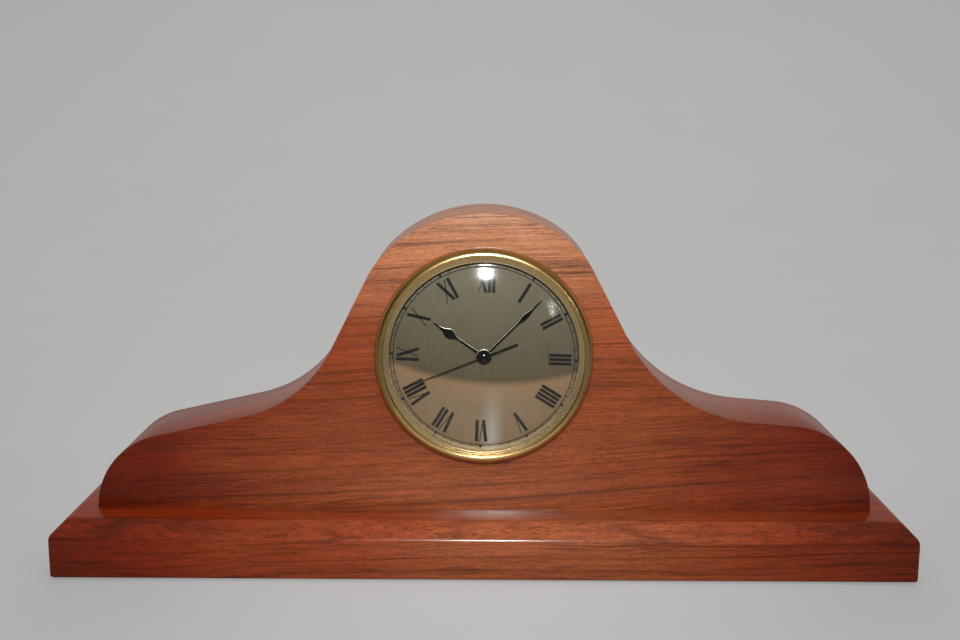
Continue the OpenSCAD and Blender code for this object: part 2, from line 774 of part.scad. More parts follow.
module contact_positive() {
    reach = mv_inner - cell_right - contact_t - running_gap;
    color("silver") on_dial() {
        translate([mv_inner - contact_t, cell_y - contact_w / 2, cell_z - contact_w / 2])
            contact_plate();
        translate([mv_inner - contact_t - reach, cell_y, cell_z]) rotate([0, 90, 0])
            cylinder(r = 1.6, h = reach);
    }
}

module contact_negative() {
    reach = mv_inner + cell_left - contact_t - running_gap;
    color("silver") on_dial() {
        translate([-mv_inner, cell_y - contact_w / 2, cell_z - contact_w / 2]) contact_plate();
        translate([contact_t - mv_inner, cell_y, cell_z]) rotate([0, 90, 0])
            cylinder(r1 = 3.6, r2 = 2, h = reach);
    }
}

module battery_cell() {
    color("slategray") on_dial() translate([cell_left, cell_y, cell_z]) rotate([0, 90, 0]) {
        cylinder(r = cell_r, h = cell_len - button_len);
        cylinder(r = button_r, h = cell_len);
    }
}

// ---- Wheels -------------------------------------------------------------------------------

// Corners of straight-flanked teeth, thin enough to run with backlash; phase turns tooth 0
function gear_points(teeth, mod, phase) =
    let (pitch_r = teeth * mod / 2,
        corners = [[pitch_r - root_depth * mod, -root_share / 2],
            [pitch_r + tip_height * mod, -tip_share / 2],
            [pitch_r + tip_height * mod, tip_share / 2],
            [pitch_r - root_depth * mod, root_share / 2]])
    [for (i = [0 : teeth - 1], c = corners) polar(c[0], phase + (i + c[1]) * 360 / teeth)];

module toothed(teeth, mod, phase, z, t) {
    translate([0, 0, z]) linear_extrude(t) polygon(gear_points(teeth, mod, phase));
}

// Phase of a wheel of teeth_b that meshes with a wheel of teeth_a in the given direction
function meshed(phase_a, teeth_a, teeth_b, direction) =
    direction + 180 - (phase_a - direction) * teeth_a / teeth_b + 180 / teeth_b;

intermediate_pinion_phase = meshed(0, seconds_teeth, intermediate_pinion_teeth, intermediate_angle);
rotor_phase = meshed(0, intermediate_teeth, rotor_teeth, rotor_angle);
third_phase = meshed(0, seconds_pinion_teeth, third_teeth, third_angle);
centre_phase = meshed(0, third_pinion_teeth, centre_teeth, third_angle + 180);
reverser_phase = meshed(0, cannon_teeth, reverser_teeth, reverser_angle);
hour_phase = meshed(0, reverser_pinion_teeth, hour_teeth, reverser_angle + 180);
knob_phase = meshed(reverser_phase, reverser_teeth, knob_teeth, knob_angle);

module rear_pivot(z) {
    ring(pivot_r, rear_boss_z - 0.8, z);
}

module front_pivot(z) {
    ring(pivot_r, z, plate_z + plate_t - 0.1);
}

module rotor_magnet() {
    color("gray") on_dial() at(rotor_at)
        ring(magnet_r, stator_z - magnet_proud, stator_z + stator_t + magnet_proud, arbor_r + push_gap);
}

module rotor_pinion() {
    color("ivory") on_dial() at(rotor_at) {
        toothed(rotor_teeth, rotor_module, rotor_phase, rotor_pinion_z, pinion_t + 0.1);
        ring(arbor_r, rotor_pinion_z, stator_z + stator_t + magnet_proud);
        front_pivot(stator_z + stator_t + magnet_proud);
        rear_pivot(rotor_pinion_z);
    }
}

module intermediate_wheel() {
    pinion_z = seconds_wheel_z - 0.25;
    color("ivory") on_dial() at(intermediate_at) {
        toothed(intermediate_teeth, rotor_module, 0, intermediate_wheel_z, wheel_t);
        toothed(intermediate_pinion_teeth, intermediate_module, intermediate_pinion_phase,
            pinion_z, pinion_t);
        ring(arbor_r, intermediate_wheel_z - 0.3, pinion_z + pinion_t + 0.5);
        front_pivot(pinion_z + pinion_t + 0.5);
        rear_pivot(intermediate_wheel_z - 0.3);
    }
}

module third_wheel() {
    pinion_z = centre_wheel_z - 0.25;
    color("ivory") on_dial() at(third_at) {
        toothed(third_teeth, third_module, third_phase, third_wheel_z, wheel_t);
        toothed(third_pinion_teeth, centre_module, 0, pinion_z, pinion_t);
        ring(arbor_r, third_wheel_z - 0.3, pinion_z + pinion_t);
        front_pivot(pinion_z + pinion_t);
        rear_pivot(third_wheel_z - 0.3);
    }
}

module centre_wheel() {
    color("ivory") on_dial() difference() {
        toothed(centre_teeth, centre_module, centre_phase, centre_wheel_z, wheel_t);
        ring(tail_r + running_gap, centre_wheel_z - cut, centre_wheel_z + wheel_t + cut);
    }
}

module seconds_wheel() {
    pinion_z = third_wheel_z - 0.25;
    color("ivory") on_dial() {
        toothed(seconds_teeth, intermediate_module, 0, seconds_wheel_z, wheel_t);
        toothed(seconds_pinion_teeth, third_module, 0, pinion_z, pinion_t);
        ring(arbor_r, seconds_wheel_z - 0.3, second_hand_z + hand_t);
        rear_pivot(seconds_wheel_z - 0.3);
    }
}

module cannon_pinion() {
    tail_end_z = centre_wheel_z - 0.2;
    color("ivory") on_dial() difference() {
        union() {
            toothed(cannon_teeth, cannon_module, 0, cannon_wheel_z - 0.25, pinion_t);
            ring(cannon_r, cannon_wheel_z - 0.25 + pinion_t, minute_hand_z + hand_t);
            ring(tail_r, tail_end_z, cannon_wheel_z);
        }
        ring(cannon_bore_r, tail_end_z - cut, minute_hand_z + hand_t + cut);
    }
}

module reverser_wheel() {
    color("ivory") on_dial() at(reverser_at) {
        toothed(reverser_teeth, cannon_module, reverser_phase, cannon_wheel_z, wheel_t);
        toothed(reverser_pinion_teeth, hour_module, 0, cannon_wheel_z + wheel_t,
            motion_level - cannon_wheel_z - wheel_t);
        ring(pivot_r, plate_z + 0.1, cup_back_z - shell_t / 2 - 0.1);
    }
}

module hour_wheel() {
    color("ivory") on_dial() difference() {
        union() {
            toothed(hour_teeth, hour_module, hour_phase, hour_wheel_z, wheel_t);
            ring(hour_tube_r, hour_wheel_z, hour_hand_z + hand_t);
        }
        ring(hour_bore_r, hour_wheel_z - cut, hour_hand_z + hand_t + cut);
    }
}

module set_knob() {
    grip_count = 24;
    grip_r = 0.35;
    arbor_front_z = cannon_wheel_z - 0.1;
    color("dimgray") on_dial() at(knob_at) {
        toothed(knob_teeth, cannon_module, knob_phase, arbor_front_z, wheel_t + 0.2);
        ring(knob_arbor_r(), mv_back_z - 0.3, arbor_front_z);
        ring(pivot_r, arbor_front_z, cup_back_z - shell_t / 2 - 0.1);
        difference() {
            ring(knob_d / 2, mv_back_z - 0.3 - knob_h, mv_back_z - 0.3);
            for (i = [0 : grip_count - 1]) at(polar(knob_d / 2, i * 360 / grip_count))
                ring(grip_r, mv_back_z - 0.3 - knob_h - cut, mv_back_z - 0.3 + cut);
        }
    }
}

// ---- Hands --------------------------------------------------------------------------------

module pointing(degrees) {
    rotate([0, 0, -degrees]) children();
}

minute_angle = show_minute * 6;
hour_angle = show_hour * 30 + show_minute / 2;
second_angle = show_second * 6;

// Collet that presses on a tube, with the hand's round eye in front of it
module hand_centre(z, tube_r, collet_len) {
    ring(hand_eye_r, z, z + hand_t, tube_r + push_gap);
    ring(tube_r + 0.6, z - collet_len, z + hand_t, tube_r + push_gap);
}

module hour_hand() {
    stem_r = 0.55;
    bulb_r = 2.1;
    bulb_y = 16.9;
    tip_r = 0.2;
    shoulder_y = bulb_y + 3.6;
    color("black") on_dial() pointing(hour_angle) {
        hand_centre(hour_hand_z, hour_tube_r, hour_hand_gap / 2);
        translate([0, 0, hour_hand_z]) linear_extrude(hand_t) {
            translate([-stem_r, hand_eye_r - 0.3]) square([2 * stem_r, bulb_y - hand_eye_r]);
            translate([0, bulb_y]) circle(r = bulb_r);
            polygon([[bulb_r * cos(20), bulb_y + bulb_r * sin(20)], [stem_r, shoulder_y],
                [tip_r, hour_len], [-tip_r, hour_len], [-stem_r, shoulder_y],
                [-bulb_r * cos(20), bulb_y + bulb_r * sin(20)]]);
        }
    }
}

module minute_hand() {
    stem_r = 0.4;
    leaf_r = 1.05;
    leaf_y = 20;
    leaf_len = 7;
    tip_r = 0.15;
    bow_r = (leaf_len * leaf_len / 4 + leaf_r * leaf_r) / (2 * leaf_r);
    color("black") on_dial() pointing(minute_angle) {
        hand_centre(minute_hand_z, cannon_r, hand_gap / 2);
        translate([0, 0, minute_hand_z]) linear_extrude(hand_t) {
            polygon([[-stem_r, hand_eye_r - 0.3], [stem_r, hand_eye_r - 0.3], [stem_r, leaf_y + leaf_len],
                [tip_r, minute_len], [-tip_r, minute_len], [-stem_r, leaf_y + leaf_len]]);
            intersection() {
                translate([leaf_r - bow_r, leaf_y + leaf_len / 2]) circle(r = bow_r);
                translate([bow_r - leaf_r, leaf_y + leaf_len / 2]) circle(r = bow_r);
            }
        }
    }
}

module second_hand() {
    needle_r = 0.22;
    tail_r2 = 0.38;
    color("black") on_dial() pointing(second_angle) {
        ring(cap_r, second_hand_z - 0.3, second_hand_z + hand_t, arbor_r + push_gap);
        translate([0, 0, second_hand_z]) linear_extrude(hand_t) {
            translate([-needle_r, cap_r - 0.2]) square([2 * needle_r, second_len - cap_r + 0.2]);
            translate([-tail_r2, -second_tail]) square([2 * tail_r2, second_tail - cap_r + 0.2]);
        }
    }
}

module hand_cap() {
    color("black") on_dial() translate([0, 0, second_hand_z + hand_t]) {
        cylinder(r = cap_r, h = 0.5);
        cylinder(r1 = cap_r * 0.7, r2 = cap_r * 0.3, h = 1);
    }
}

tambour_body();
base_plinth();
felt_pad();
base_screws();
bezel();
lens();
lens_gasket();
sight_ring();
dial();
insert_cup();
grip_ring();
movement_screws();
front_case();
back_case();
train_plate();
stator();
coil_bobbin();
coil_winding();
circuit_board();
driver_chip();
quartz_crystal();
contact_positive();
contact_negative();
battery_cell();
rotor_magnet();
rotor_pinion();
intermediate_wheel();
third_wheel();
centre_wheel();
seconds_wheel();
second_hand();
hand_cap();
cannon_pinion();
minute_hand();
reverser_wheel();
hour_wheel();
hour_hand();
set_knob();
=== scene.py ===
import math

import bpy
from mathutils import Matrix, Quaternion, Vector


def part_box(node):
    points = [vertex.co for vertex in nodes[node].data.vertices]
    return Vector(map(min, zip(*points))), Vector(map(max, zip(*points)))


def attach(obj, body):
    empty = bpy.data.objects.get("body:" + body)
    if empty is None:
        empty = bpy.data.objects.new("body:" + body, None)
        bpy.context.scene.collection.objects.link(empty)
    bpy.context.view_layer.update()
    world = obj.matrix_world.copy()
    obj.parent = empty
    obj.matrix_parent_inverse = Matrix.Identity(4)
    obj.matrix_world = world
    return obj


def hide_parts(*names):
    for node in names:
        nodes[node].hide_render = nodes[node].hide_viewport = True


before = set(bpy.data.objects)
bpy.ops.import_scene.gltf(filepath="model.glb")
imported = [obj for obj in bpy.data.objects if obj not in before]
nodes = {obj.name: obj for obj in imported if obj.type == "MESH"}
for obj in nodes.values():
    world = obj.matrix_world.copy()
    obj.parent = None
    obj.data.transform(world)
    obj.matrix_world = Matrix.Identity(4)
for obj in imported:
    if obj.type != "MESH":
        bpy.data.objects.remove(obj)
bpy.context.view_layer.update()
MM = 0.001

# ---- Plinth ---------------------------------------------------------------------------------
# A board of stained cherry, 355 by 83 mm, its top edges planed to a bevel. The arrises are
# eased with fine paper and the board is sprayed with satin lacquer, as the body is.


class Shade:
    """A socket of a material that is being made; sums and products on it add their nodes."""

    def __init__(self, tree, socket=None):
        self.tree, self.socket = tree, socket

    def node(self, kind, settings=None, inputs=None, out=0):
        made = self.tree.nodes.new("ShaderNode" + kind)
        for name, value in (settings or {}).items():
            if name == "stops":
                while len(made.color_ramp.elements) < len(value):
                    made.color_ramp.elements.new(0.5)
                for element, (place, colour) in zip(made.color_ramp.elements, value):
                    element.position, element.color = place, colour
            else:
                setattr(made, name, value)
        for name, value in (inputs or {}).items():
            self.feed(made, name, value)
        return Shade(self.tree, made.outputs[out])

    def feed(self, made, name, value):
        if isinstance(value, Shade):
            self.tree.links.new(value.socket, made.inputs[name])
        else:
            made.inputs[name].default_value = value

    def math(self, operation, *values):
        clamp = operation == "CLAMP"
        settings = {"operation": "ADD" if clamp else operation, "use_clamp": clamp}
        return self.node("Math", settings, dict(enumerate(values)))

    def __add__(self, other):
        return self.math("ADD", self, other)

    def __sub__(self, other):
        return self.math("SUBTRACT", self, other)

    def __mul__(self, other):
        return self.math("MULTIPLY", self, other)

    def __truediv__(self, other):
        return self.math("DIVIDE", self, other)

    def __pow__(self, other):
        return self.math("POWER", self, other)

    def __radd__(self, other):
        return self.math("ADD", other, self)

    def __rsub__(self, other):
        return self.math("SUBTRACT", other, self)

    def __rmul__(self, other):
        return self.math("MULTIPLY", other, self)

    def __rtruediv__(self, other):
        return self.math("DIVIDE", other, self)

    def clamped(self):
        return self.math("CLAMP", self, 0.0)

    def tint(self, low, high):
        """The colour low where this is 0 and the colour high where it is 1."""
        return self.node("Mix", {"data_type": "RGBA"}, {0: self, 6: low, 7: high}, 2)

    def noise(self, stretch, detail=2.0, roughness=0.5, shift=(0, 0, 0)):
        """Noise over this place in millimetres, stretch being its waves per millimetre."""
        placed = self.node("Mapping", {}, {"Vector": self, "Location": shift, "Scale": stretch})
        return self.node("TexNoise", {}, {"Vector": placed, "Scale": 1.0, "Detail": detail,
            "Roughness": roughness})

    def bump(self, height, depth, normal=None):
        """The normal over a relief that is depth millimetres high where height is 1."""
        inputs = {"Height": height, "Strength": 1.0, "Distance": depth * MM}
        if normal:
            inputs["Normal"] = normal
        return self.node("Bump", {}, inputs)


def colour(red, green, blue):
    """A colour from 0 to 255 as the linear values that a shader takes."""
    shares = [value / 255 for value in (red, green, blue)]
    return (*[s / 12.92 if s <= 0.04045 else ((s + 0.055) / 1.055) ** 2.4 for s in shares], 1)


def new_finish(name):
    """A new material, its shader and a Shade at the piece's own place in millimetres."""
    material = bpy.data.materials.new(name)
    material.use_nodes = True
    tree = material.node_tree
    place = Shade(tree).node("TexCoord", out="Object")
    place = place.node("VectorMath", {"operation": "SCALE"}, {0: place, "Scale": 1000.0})
    return material, tree.nodes["Principled BSDF"], place


def cherry(name, heart, rise, seed, shaded_end_tone):
    """Stained cherry: rings round a heart line that runs along X, heart = (y, z) in mm, and
    shaded_end_tone the colour that it darkens to at the ends, as painted shade."""
    material, shader, place = new_finish(name)
    x = place.node("SeparateXYZ", {}, {0: place}, "X")
    y = place.node("SeparateXYZ", {}, {0: place}, "Y")
    z = place.node("SeparateXYZ", {}, {0: place}, "Z")
    swell = place.noise((0.006, 0.02, 0.011), 1.5, 0.4, (seed, 0, 0)) - 0.5
    ripple = place.noise((0.020, 0.05, 0.06), 2.0, 0.5, (0, seed, 0)) - 0.5
    across, up = y - heart[0], z - heart[1]
    ring = (across * across + up * up) ** 0.5 - x * rise + swell * 7.0 + ripple * 1.3
    along = place.node("CombineXYZ", {}, {"X": x, "Y": y, "Z": ring})
    # Late wood: thin dark lines at uneven distances, some stronger than others
    spaced = (ring + (along.noise((0.002, 0.01, 0.09), 2.0, 0.6, (0, 2, seed)) - 0.5) * 9.0) / 3.8
    apart = spaced.math("FRACT", spaced) * 2.0 - 1.0
    strength = ((along.noise((0.006, 0.02, 0.26), 3.0, 0.6, (seed, 3, 0)) - 0.38) * 3.8).clamped()
    line = (apart.math("ABSOLUTE", apart) ** 7.0) * strength
    # Thin dark hairs between the lines
    hair = along.noise((0.010, 0.05, 0.62), 3.0, 0.6, (seed, 7, 0)) - 0.5
    hair = (1.0 - hair.math("ABSOLUTE", hair) * 17.0).clamped()
    hair = hair * ((along.noise((0.022, 0.1, 0.3), 2.0, 0.5, (4, 0, seed)) - 0.40) * 4.0).clamped()
    fibres = along.noise((0.045, 0.6, 2.4), 3.0, 0.72, (0, seed, 5))
    flecks = along.noise((0.26, 1.6, 3.2), 2.0, 0.6, (seed, 0, 8))
    bands = along.noise((0.004, 0.02, 0.12), 2.0, 0.5, (6, 0, seed))
    pores = along.noise((0.36, 2.4, 6.4), 1.0, 0.4, (3, seed, 0))
    patch = place.noise((0.012, 0.02, 0.026), 2.0, 0.5, (0, 5, seed)) - 0.5
    pore = ((pores - 0.585) * 11.0).clamped()
    # Painted shade: the wood is darker and redder towards both ends, away from the lit middle; a
    # painted highlight makes it paler at the crown
    lit_middle_x, crown_z = 14.0, 104.0
    outwards = x.math("ABSOLUTE", x - lit_middle_x)
    painted_end_shade = (outwards * 0.0085 - 0.28 + patch * 1.3).clamped()
    pale = ((z - crown_z) * 0.016 + patch * 0.5).clamped()
    tone = painted_end_shade.tint(colour(134, 67, 34), shaded_end_tone)
    tone = (pale * 0.78).tint(tone, colour(196, 138, 98))
    level = 1.0 + (fibres - 0.5) * 1.5 + (flecks - 0.5) * 0.9 + (bands - 0.5) * 1.0
    wood = place.node("VectorMath", {"operation": "SCALE"}, {0: tone, "Scale": level})
    lined = (line * 0.72).tint(wood, colour(52, 20, 10))
    haired = (hair * 0.6).tint(lined, colour(54, 21, 11))
    grained = (pore * 0.5).tint(haired, colour(52, 22, 13))
    place.feed(shader, "Base Color", grained)
    place.feed(shader, "Roughness", 0.38 + fibres * 0.12 + pore * 0.12)
    shader.inputs["Specular IOR Level"].default_value = 0.08
    shader.inputs["Coat Weight"].default_value = 0.7
    shader.inputs["Coat Roughness"].default_value = 0.19
    relief = fibres * 0.35 - pore - line * 0.25
    place.feed(shader, "Normal", place.bump(relief, 0.04))
    return material


def copy_of(node, name):
    """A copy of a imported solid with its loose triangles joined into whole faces."""
    bpy.ops.object.select_all(action="DESELECT")
    piece = nodes[node].copy()
    piece.data = nodes[node].data.copy()
    piece.name = piece.data.name = name
    piece.parent = None
    for key in list(piece.keys()):
        del piece[key]
    bpy.context.scene.collection.objects.link(piece)
    piece.select_set(True)
    bpy.context.view_layer.objects.active = piece
    bpy.ops.object.mode_set(mode="EDIT")
    bpy.ops.mesh.select_all(action="SELECT")
    bpy.ops.mesh.customdata_custom_splitnormals_clear()
    bpy.ops.mesh.remove_doubles(threshold=1e-6)
    bpy.ops.mesh.dissolve_limited(angle_limit=math.radians(0.6))
    bpy.ops.object.mode_set(mode="OBJECT")
    return piece


def eased(piece, width, edges_at, steps=3):
    """Rounds the sharp edges of a piece where edges_at(middle) holds, by width in mm."""
    mesh = piece.data
    weight = mesh.attributes.get("bevel_weight_edge")
    weight = weight or mesh.attributes.new("bevel_weight_edge", "FLOAT", "EDGE")
    faces = {}
    for face in mesh.polygons:
        for key in face.edge_keys:
            faces.setdefault(key, []).append(face.normal)
    for edge in mesh.edges:
        beside = faces[edge.key]
        middle = (mesh.vertices[edge.vertices[0]].co + mesh.vertices[edge.vertices[1]].co) / 2
        sharp = len(beside) == 2 and beside[0].dot(beside[1]) < 0.85
        weight.data[edge.index].value = 1.0 if sharp and edges_at(middle / MM) else 0.0
    bevel = piece.modifiers.new("eased", "BEVEL")
    bevel.width, bevel.segments, bevel.limit_method = width * MM, steps, "WEIGHT"
    bevel.harden_normals = False
    bpy.context.view_layer.objects.active = piece
    bpy.ops.object.modifier_apply(modifier="eased")


def smooth(piece, angle=32):
    """Shades a piece smooth, save over edges sharper than angle."""
    bpy.ops.object.select_all(action="DESELECT")
    piece.select_set(True)
    bpy.context.view_layer.objects.active = piece
    bpy.ops.object.shade_smooth_by_angle(angle=math.radians(angle))


def finish_piece(piece, material, slot, body, *stands_for):
    """Gives a piece its only material, sets it on its body and hides the nodes it stands for; slot
    is not used.
    """
    piece.data.materials.clear()
    piece.data.materials.append(material)
    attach(piece, body)
    if stands_for:
        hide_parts(*stands_for)


plinth_arris = 1.1
plinth_wood = cherry("plinth_cherry", (46.0, -58.0), 0.012, 3.7, colour(130, 40, 9))
plinth = copy_of("base_plinth", "plinth_board")
eased(plinth, plinth_arris, lambda at: abs(at.x) > 100 or abs(at.y) > 12)
smooth(plinth)
finish_piece(plinth, plinth_wood, "cherry_wood", "case", "base_plinth")

# ---- Body -----------------------------------------------------------------------------------
# One thick piece of the same cherry, band-sawn to the hat outline and sanded; its front and
# back arrises are rounded over with a small cutter. It stands on the plinth, glued and screwed.
body_wood = cherry("body_cherry", (62.0, -22.0), 0.035, 1.3, colour(106, 29, 6))
body = copy_of("tambour_body", "body_board")
wood_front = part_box("tambour_body")[0].y
dial_low, dial_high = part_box("dial")
axis_x, axis_z = (dial_low.x + dial_high.x) / 2, (dial_low.z + dial_high.z) / 2
foot_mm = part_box("tambour_body")[0].z / MM
face_arris, foot_arris, clear_of_bore = 1.5, 0.5, 42
eased(body, face_arris, lambda at: math.hypot(at.x - axis_x / MM, at.z - axis_z / MM)
    > clear_of_bore and at.z > foot_mm + 0.5 and abs(at.y) > 20, 4)
eased(body, foot_arris,
    lambda at: at.z < foot_mm + 0.2 and (abs(at.y) > 20 or abs(at.x) > 150), 2)
smooth(body)
finish_piece(body, body_wood, "cherry_wood", "case", "tambour_body")

# ---- Felt -----------------------------------------------------------------------------------
# Green wool felt, 1 mm thick, cut a little smaller than the plinth and glued under it, so that
# the clock doesn't mark the shelf. A thin line of it shows along the foot.
felt, felt_shader, wool = new_finish("wool_felt")
tufts = wool.noise((1.6, 1.6, 1.6), 4.0, 0.7)
hairs = wool.noise((0.5, 4.0, 4.0), 2.0, 0.6)
wool.feed(felt_shader, "Base Color", tufts.tint(colour(18, 58, 40), colour(44, 104, 74)))
felt_shader.inputs["Roughness"].default_value = 0.95
felt_shader.inputs["Sheen Weight"].default_value = 0.5
wool.feed(felt_shader, "Normal", wool.bump(tufts + hairs * 0.6, 0.35))
nodes["felt_pad"].material_slots[0].material = felt

# ---- Bezel ----------------------------------------------------------------------------------
# A ring spun from thin brass and lacquered: a polished roll with a short upright wall, darkened
# with painted shade where it meets the wood, fine satin steps down to the lip over the glass,
# and a skirt crimped behind the cup.


def turned(name, profile, sides=160, fill="NOTHING"):
    """A piece turned on the dial's axis: a circle at the first point of the profile is extruded
    and widened to each next one. A point is a radius and a height over the wood's face, in mm."""
    bpy.ops.object.select_all(action="DESELECT")
    radius, height = profile[0]
    bpy.ops.mesh.primitive_circle_add(vertices=sides, radius=radius * MM, fill_type=fill,
        location=(axis_x, wood_front - height * MM, axis_z), rotation=(math.pi / 2, 0, 0))
    piece = bpy.context.active_object
    piece.name = piece.data.name = name
    bpy.ops.object.mode_set(mode="EDIT")
    bpy.ops.mesh.select_all(action="SELECT")
    for next_radius, next_height in profile[1:]:
        step = (0, (height - next_height) * MM, 0)
        bpy.ops.mesh.extrude_region_move(TRANSFORM_OT_translate={"value": step})
        scale = next_radius / radius
        if abs(scale - 1) > 1e-9:
            bpy.ops.transform.resize(value=(scale, 1, scale),
                center_override=(axis_x, wood_front - next_height * MM, axis_z))
        radius, height = next_radius, next_height
    bpy.ops.mesh.select_all(action="SELECT")
    bpy.ops.mesh.remove_doubles(threshold=1e-6)
    bpy.ops.mesh.normals_make_consistent(inside=False)
    bpy.ops.object.mode_set(mode="OBJECT")
    bpy.ops.object.transform_apply(location=True, rotation=True, scale=True)
    return piece


def arc(centre, radius, start, end, steps):
    """Points of a profile on an arc, with its angles in degrees from outwards."""
    turns = [math.radians(start + (end - start) * i / steps) for i in range(steps + 1)]
    return [(centre[0] + radius * math.cos(t), centre[1] + radius * math.sin(t)) for t in turns]


def over_wood(node):
    """Heights of a node's back and front over the face of the wood, in mm."""
    low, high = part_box(node)
    return (wood_front - high.y) / MM, (wood_front - low.y) / MM


bezel_back, bezel_top = over_wood("bezel")
bezel_r = (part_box("bezel")[1].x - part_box("bezel")[0].x) / 2 / MM
roll_r, wall_z, foot_chamfer = bezel_r + 0.5, 1.9, 0.3
steps_end, steps_in_all, step_rise, step_round, step_root = bezel_r - 2.6, 4, 0.45, 0.16, 0.09
lip_r, lip_z, lip_t, lip_chamfer = 39.11, 3.2, 0.8, 0.12
skirt_r, skirt_t, crimp_r = 39.93, 0.3, 38.4
bezel_profile = [(lip_r, lip_z - lip_t), (lip_r, lip_z - lip_chamfer),
    (lip_r + lip_chamfer, lip_z)]
step_w = (steps_end - lip_r) / steps_in_all
for i in range(1, steps_in_all):
    edge, top = lip_r + step_w * i, lip_z + step_rise * i
    bezel_profile += [(edge - step_root, top - step_rise), (edge, top - step_rise + step_root)]
    bezel_profile += arc((edge + step_round, top - step_round), step_round, 180, 90, 3)
# The roll: a quarter of a low oval up to its crest, and a taller one down to the upright wall
crest_r, inner_w, inner_rise = steps_end + 0.2, 0.62, 0.45
bezel_profile += [(crest_r - inner_w * math.cos(math.radians(a)), bezel_top - inner_rise
    + inner_rise * math.sin(math.radians(a))) for a in (10, 30, 50, 70, 90)]
bezel_profile += [(crest_r + (roll_r - crest_r) * math.sin(math.radians(a)), wall_z
    + (bezel_top - wall_z) * math.cos(math.radians(a))) for a in range(6, 91, 6)]
bezel_profile += [(roll_r, foot_chamfer), (roll_r - foot_chamfer, 0.0)]
hollow = [(steps_end + 0.1, 0.0), (steps_end + 0.1, 3.7), (41.0, 3.1), (skirt_r, 2.5)]
skirt = [(skirt_r, bezel_back), (crimp_r, bezel_back), (crimp_r, bezel_back + skirt_t),
    (skirt_r - skirt_t, bezel_back + skirt_t), (skirt_r - skirt_t, lip_z - lip_t)]
bezel_profile += [*hollow, *skirt, (lip_r, lip_z - lip_t)]
bezel = turned("spun_bezel", bezel_profile, 192)
smooth(bezel, 38)
brass, brass_shader, spun = new_finish("polished_brass")
haze = spun.noise((0.05, 0.05, 0.05), 2.0)
lathe = spun.noise((0.2, 5.0, 0.2), 1.0)
spots = ((spun.noise((0.9, 0.9, 0.9), 3.0, 0.65) - 0.62) * 6.0).clamped()
right = spun.node("SeparateXYZ", {}, {0: spun}, "X") - axis_x / MM
upward = spun.node("SeparateXYZ", {}, {0: spun}, "Z") - axis_z / MM
reach = (right * right + upward * upward) ** 0.5
polish_r, foot_shade_w = 41.0, 0.22
on_roll = ((reach - polish_r) * 6.0).clamped()
golden = haze.tint(colour(210, 174, 108), colour(228, 194, 132))
satin = haze.tint(colour(190, 164, 118), colour(206, 182, 136))
two_tone = on_roll.tint(satin, golden)
# Painted shade: the foot of the upright wall turns dull dark brown and loses most of its metal.
at_foot = ((reach - (roll_r - foot_shade_w)) * 8.0).clamped()
shaded_foot = (at_foot * 0.85).tint(two_tone, colour(62, 38, 20))
spun.feed(brass_shader, "Base Color", (spots * 0.35).tint(shaded_foot, colour(150, 108, 50)))
spun.feed(brass_shader, "Roughness", 0.25 - on_roll * 0.06 + haze * 0.05 + spots * 0.12)
spun.feed(brass_shader, "Metallic", (0.95 + on_roll * 0.05) * (1.0 - at_foot * 0.6))
spun.feed(brass_shader, "Normal", spun.bump(lathe, 0.0012))
finish_piece(bezel, brass, "polished_brass", "insert", "bezel")

# ---- Glass ----------------------------------------------------------------------------------
# A round of mineral glass, pressed to a dome and polished. It goes into the bezel from behind,
# and the gasket holds it against the lip.
lens_back, lens_top = over_wood("lens")
lens_r, lens_t, dome_edge, rim_chamfer, centre_r = 39.61, 1.1, 38.71, 0.15, 0.6
rim_z = lens_back + lens_t
rise = lens_top - rim_z
dome_r = (dome_edge ** 2 + rise ** 2) / (2 * rise)
dome_z = lens_top - dome_r


def dome(radius, ball):
    """Height of a ball round the dome's centre over the wood, at a radius, in mm."""
    return dome_z + math.sqrt(ball * ball - radius * radius)


inner_edge = dome_edge - lens_t
spread = [centre_r] + [inner_edge * i / 12 for i in range(1, 12)]
lens_profile = [(r, dome(r, dome_r - lens_t)) for r in spread]
lens_profile += [(inner_edge, lens_back + 0.16), (inner_edge + 0.3, lens_back),
    (lens_r - rim_chamfer, lens_back), (lens_r, lens_back + rim_chamfer),
    (lens_r, rim_z - rim_chamfer), (lens_r - rim_chamfer, rim_z),
    (dome_edge + rim_chamfer, rim_z)]
spread = [centre_r] + [dome_edge * i / 16 for i in range(1, 17)]
lens_profile += [(r, dome(r, dome_r)) for r in reversed(spread)]
lens = turned("domed_glass", lens_profile, 144, "TRIFAN")
smooth(lens, 30)
glass = bpy.data.materials.new("clear_glass")
glass.use_nodes = True
glass_tree = glass.node_tree
glass_tree.nodes.remove(glass_tree.nodes["Principled BSDF"])
pane = Shade(glass_tree)
film = pane.node("TexCoord", out="Object")
film = film.node("VectorMath", {"operation": "SCALE"}, {0: film, "Scale": 1000.0})
smear = film.noise((0.06, 0.06, 0.10), 3.0, 0.6)
clear = pane.node("BsdfTransparent", {}, {"Color": (0.97, 0.98, 0.965, 1)})
shine = pane.node("BsdfGlossy", {}, {"Color": (1, 1, 1, 1), "Roughness": 0.055 + smear * 0.05})
edge_on = pane.node("Fresnel", {}, {"IOR": 1.5})
film_share = (edge_on * 0.62 - 0.006).clamped()
mixed = pane.node("MixShader", {}, {0: film_share, 1: clear, 2: shine})
glass_tree.links.new(mixed.socket, glass_tree.nodes["Material Output"].inputs["Surface"])
finish_piece(lens, glass, "clear_glass", "insert", "lens")

# ---- Gasket and sight ring ------------------------------------------------------------------
# The soft vinyl gasket behind the glass and the moulded ring that hides the dial's edge, which
# is finished in a pale champagne.


